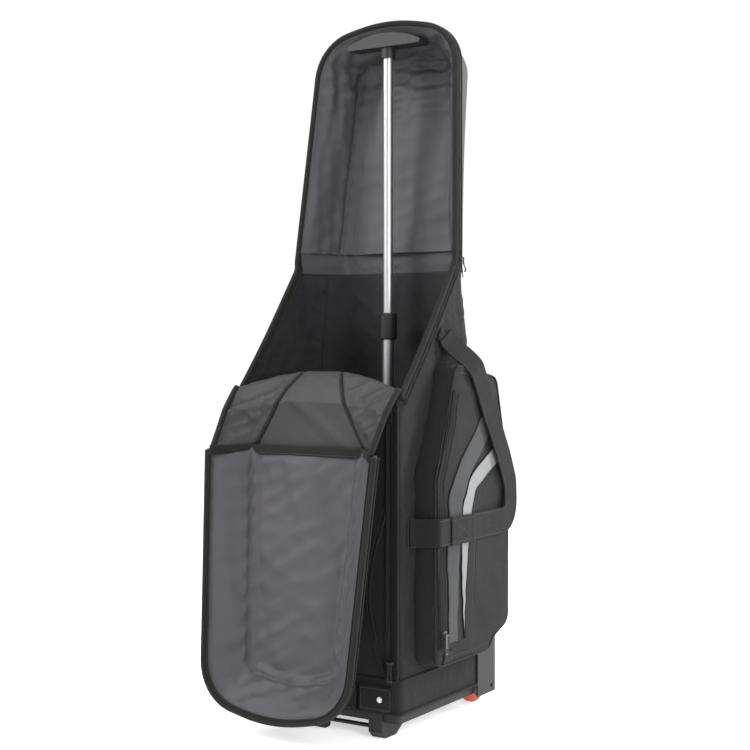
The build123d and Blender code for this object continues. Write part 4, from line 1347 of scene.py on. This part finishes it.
def makePatches():
    for label, sign in sides:
        low = [(-0.168, 0.326), (-0.144, 0.326), (-0.144, 0.378), (-0.168, 0.378)]
        centre = np.array((-0.034, 0.680))
        along, wide = np.array((-0.53, -0.85)), np.array((0.85, -0.53))
        high = [centre + along * a + wide * b for a,
                b in ((-0.012, -0.026), (0.012, -0.026), (0.012, 0.026), (-0.012, 0.026))]
        for name, quad in (("Low", low), ("High", high)):
            quad = np.array(quad)
            rows = []
            for i in range(9):
                row = []
                for j in range(15):
                    u, v = i / 8, j / 14
                    a = quad[0] * (1 - u) + quad[1] * u
                    b = quad[3] * (1 - u) + quad[2] * u
                    yz = a * (1 - v) + b * v
                    lift = 0.0030 * (1 - (2 * u - 1) ** 8) * (1 - (2 * v - 1) ** 8)
                    row.append((sign * (body["half"] + 0.0012 + lift), yz[0], yz[1]))
                rows.append(row)
            obj = sheetFrom("strapPatch%s_%s" % (name, label), np.array(rows), 0.0016, "webbing")
            first = name == "Low" and sign > 0
            settle(obj, "case", "webbing", *(["strap_patches"] if first else []))
            inner = quad.mean(0) + (quad - quad.mean(0)) * 0.84
            ring = [(sign * (body["half"] + 0.0042), a, b) for a, b in np.vstack([inner, inner[:1]])]
            stitchRow("strapPatchStitches%s_%s" % (name, label), evenRing(ring), (sign, 0, 0), "case")


makeLoops()
makePatches()
print("zips and loops ready")


# grab handle at the foot of the front

grab = {
    "centre": (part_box("grab_handle")[0].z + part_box("grab_handle")[1].z) / 2,
    "width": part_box("grab_handle")[1].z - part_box("grab_handle")[0].z,
    "line": ((-0.090, -0.193), (-0.0405, -0.2085), (0.0405, -0.2085), (0.090, -0.193)),
}


def makeGrab():
    flat = smoothLine(np.array(grab["line"]), 3)
    line = evenly(np.column_stack([flat, np.full(len(flat), grab["centre"])]), 0.003)
    half = grab["width"] / 2
    section = [(-half, 0), (-half + 0.001, 0.0016), (-half + 0.003, 0.0022), (-half * 0.4, 0.0026),
               (half * 0.4, 0.0026),
               (half - 0.003, 0.0022), (half - 0.001, 0.0016), (half, 0)]
    section += [(a, -b) for a, b in section[-2:0:-1]]
    settle(sweep("grabWebbing", line, section, (0, -1, 0), "webbing"), "grab", "webbing", "grab_handle")
    for name, gap in (("High", half - 0.005), ("Low", -half + 0.005)):
        stitchRow("grabStitches" + name, line[3:-3] + np.array((0, -0.0024, gap)), (0, -1, 0), "grab")
    for label, sign in sides:
        low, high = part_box("grab_plates")
        middle = (low.z + high.z) / 2
        xs = np.linspace(0.0918, 0.1636, 24)
        for layer, (back, trim) in enumerate(((body["front"] - 0.0002, 0.0),
                                              (body["front"] - 0.0030, 0.004))):
            use = xs[(xs > 0.0918 + trim * 0.6) & (xs < 0.1636 - trim)]
            line = np.column_stack([sign * use, np.full(len(use), back), np.full(len(use), middle)])
            tape = sweep("grabPlate%d_%s" % (layer, label), line,
                         tapeSection(grab["width"] - trim, 0.0027), (0, -1, 0),
                         "webbing")
            settle(tape, "case", "webbing", *(["grab_plates"] if layer == 0 and sign > 0 else []))
        box = np.array([(0.099, -1), (0.158, -1), (0.158, 1), (0.099, 1), (0.099, -1)])
        ring = np.column_stack([sign * box[:, 0], np.full(5, body["front"] - 0.0057),
                                middle + box[:, 1] * (grab["width"] / 2 - 0.006)])
        stitchRow("grabPlateStitches_" + label, evenRing(ring), (0, -1, 0), "case")


makeGrab()


# neck tabs that hold the rings

neck = {
    "normal": (0.900, 0.435),
    "bar": (0.15108, 0.07826, 0.812),
    "top": 0.8445,
    "width": 0.019,
    "wall": 0.0017,
    "wrap": 0.0036,
}


def makeTabs():
    for label, sign in sides:
        out = np.array((neck["normal"][0] * sign, neck["normal"][1], 0))
        bar = np.array((neck["bar"][0] * sign, neck["bar"][1], neck["bar"][2]))
        up = np.array((0, 0, 1.0))
        stand = -0.0052
        r = neck["wrap"]
        line = [bar + out * (stand + 0.0016) + up * (neck["top"] - bar[2] - k * 0.004) for k in range(7)]
        line.append(bar - out * r + up * 0.003)
        for k in range(13):
            angle = math.pi + math.pi * k / 12
            line.append(bar + out * math.cos(angle) * r + up * math.sin(angle) * r)
        line.append(bar + out * (r * 0.9) + up * 0.004)
        line += [bar + out * (stand + 0.0048) + up * (0.012 + k * 0.004) for k in range(4)]
        line = evenly(smoothLine(np.array(line), 1), 0.0012)
        way = np.gradient(line, axis=0)
        way /= np.linalg.norm(way, axis=1, keepdims=True)
        flat = np.cross(out, up)
        outs = np.cross(way, flat)
        tab = sweep("neckTab_" + label, line,
                    tapeSection(neck["width"], neck["wall"], -neck["wall"] / 2), outs, "webbing")
        settle(tab, "case", "webbing", *(["neck_tabs"] if sign > 0 else []))
        box = [(-1, 0.0135), (1, 0.0135), (1, 0.0235), (-1, 0.0235), (-1, 0.0135)]
        ring = [bar + out * (stand + 0.0058) + up * h + flat * s * 0.0072 for s, h in box]
        stitchRow("neckTabStitches_" + label, evenRing(ring), out, "case")


makeTabs()
print("small webbing ready")


# finishes on the hard pieces

hardLooks = {
    "base_tray": "base", "skid_foot_right": "base", "skid_foot_left": "base", "centre_foot": "base",
    "cross_rod": "enamel", "wheel_housing_right": "cover", "wheel_housing_left": "cover", "axles": "steel",
    "tyre_right": "wheel", "tyre_left": "wheel", "hub_right": "hub", "hub_left": "hub",
    "pole_socket": "base", "pole_lower": "pole", "pole_upper": "pole", "pole_head": "headBlack",
    "pole_lock": "headBlack", "rivets": "nickel", "neck_ring_right": "nickel", "neck_ring_left": "nickel",
}
for name, node in nodes.items():
    choice = hardLooks.get(name)
    if choice is None and ("slider" in name or "puller" in name):
        choice = "darkZinc"
    if choice is None:
        choice = "black"
    node.data.materials.clear()
    node.data.materials.append(look[choice])
print("hard pieces finished")
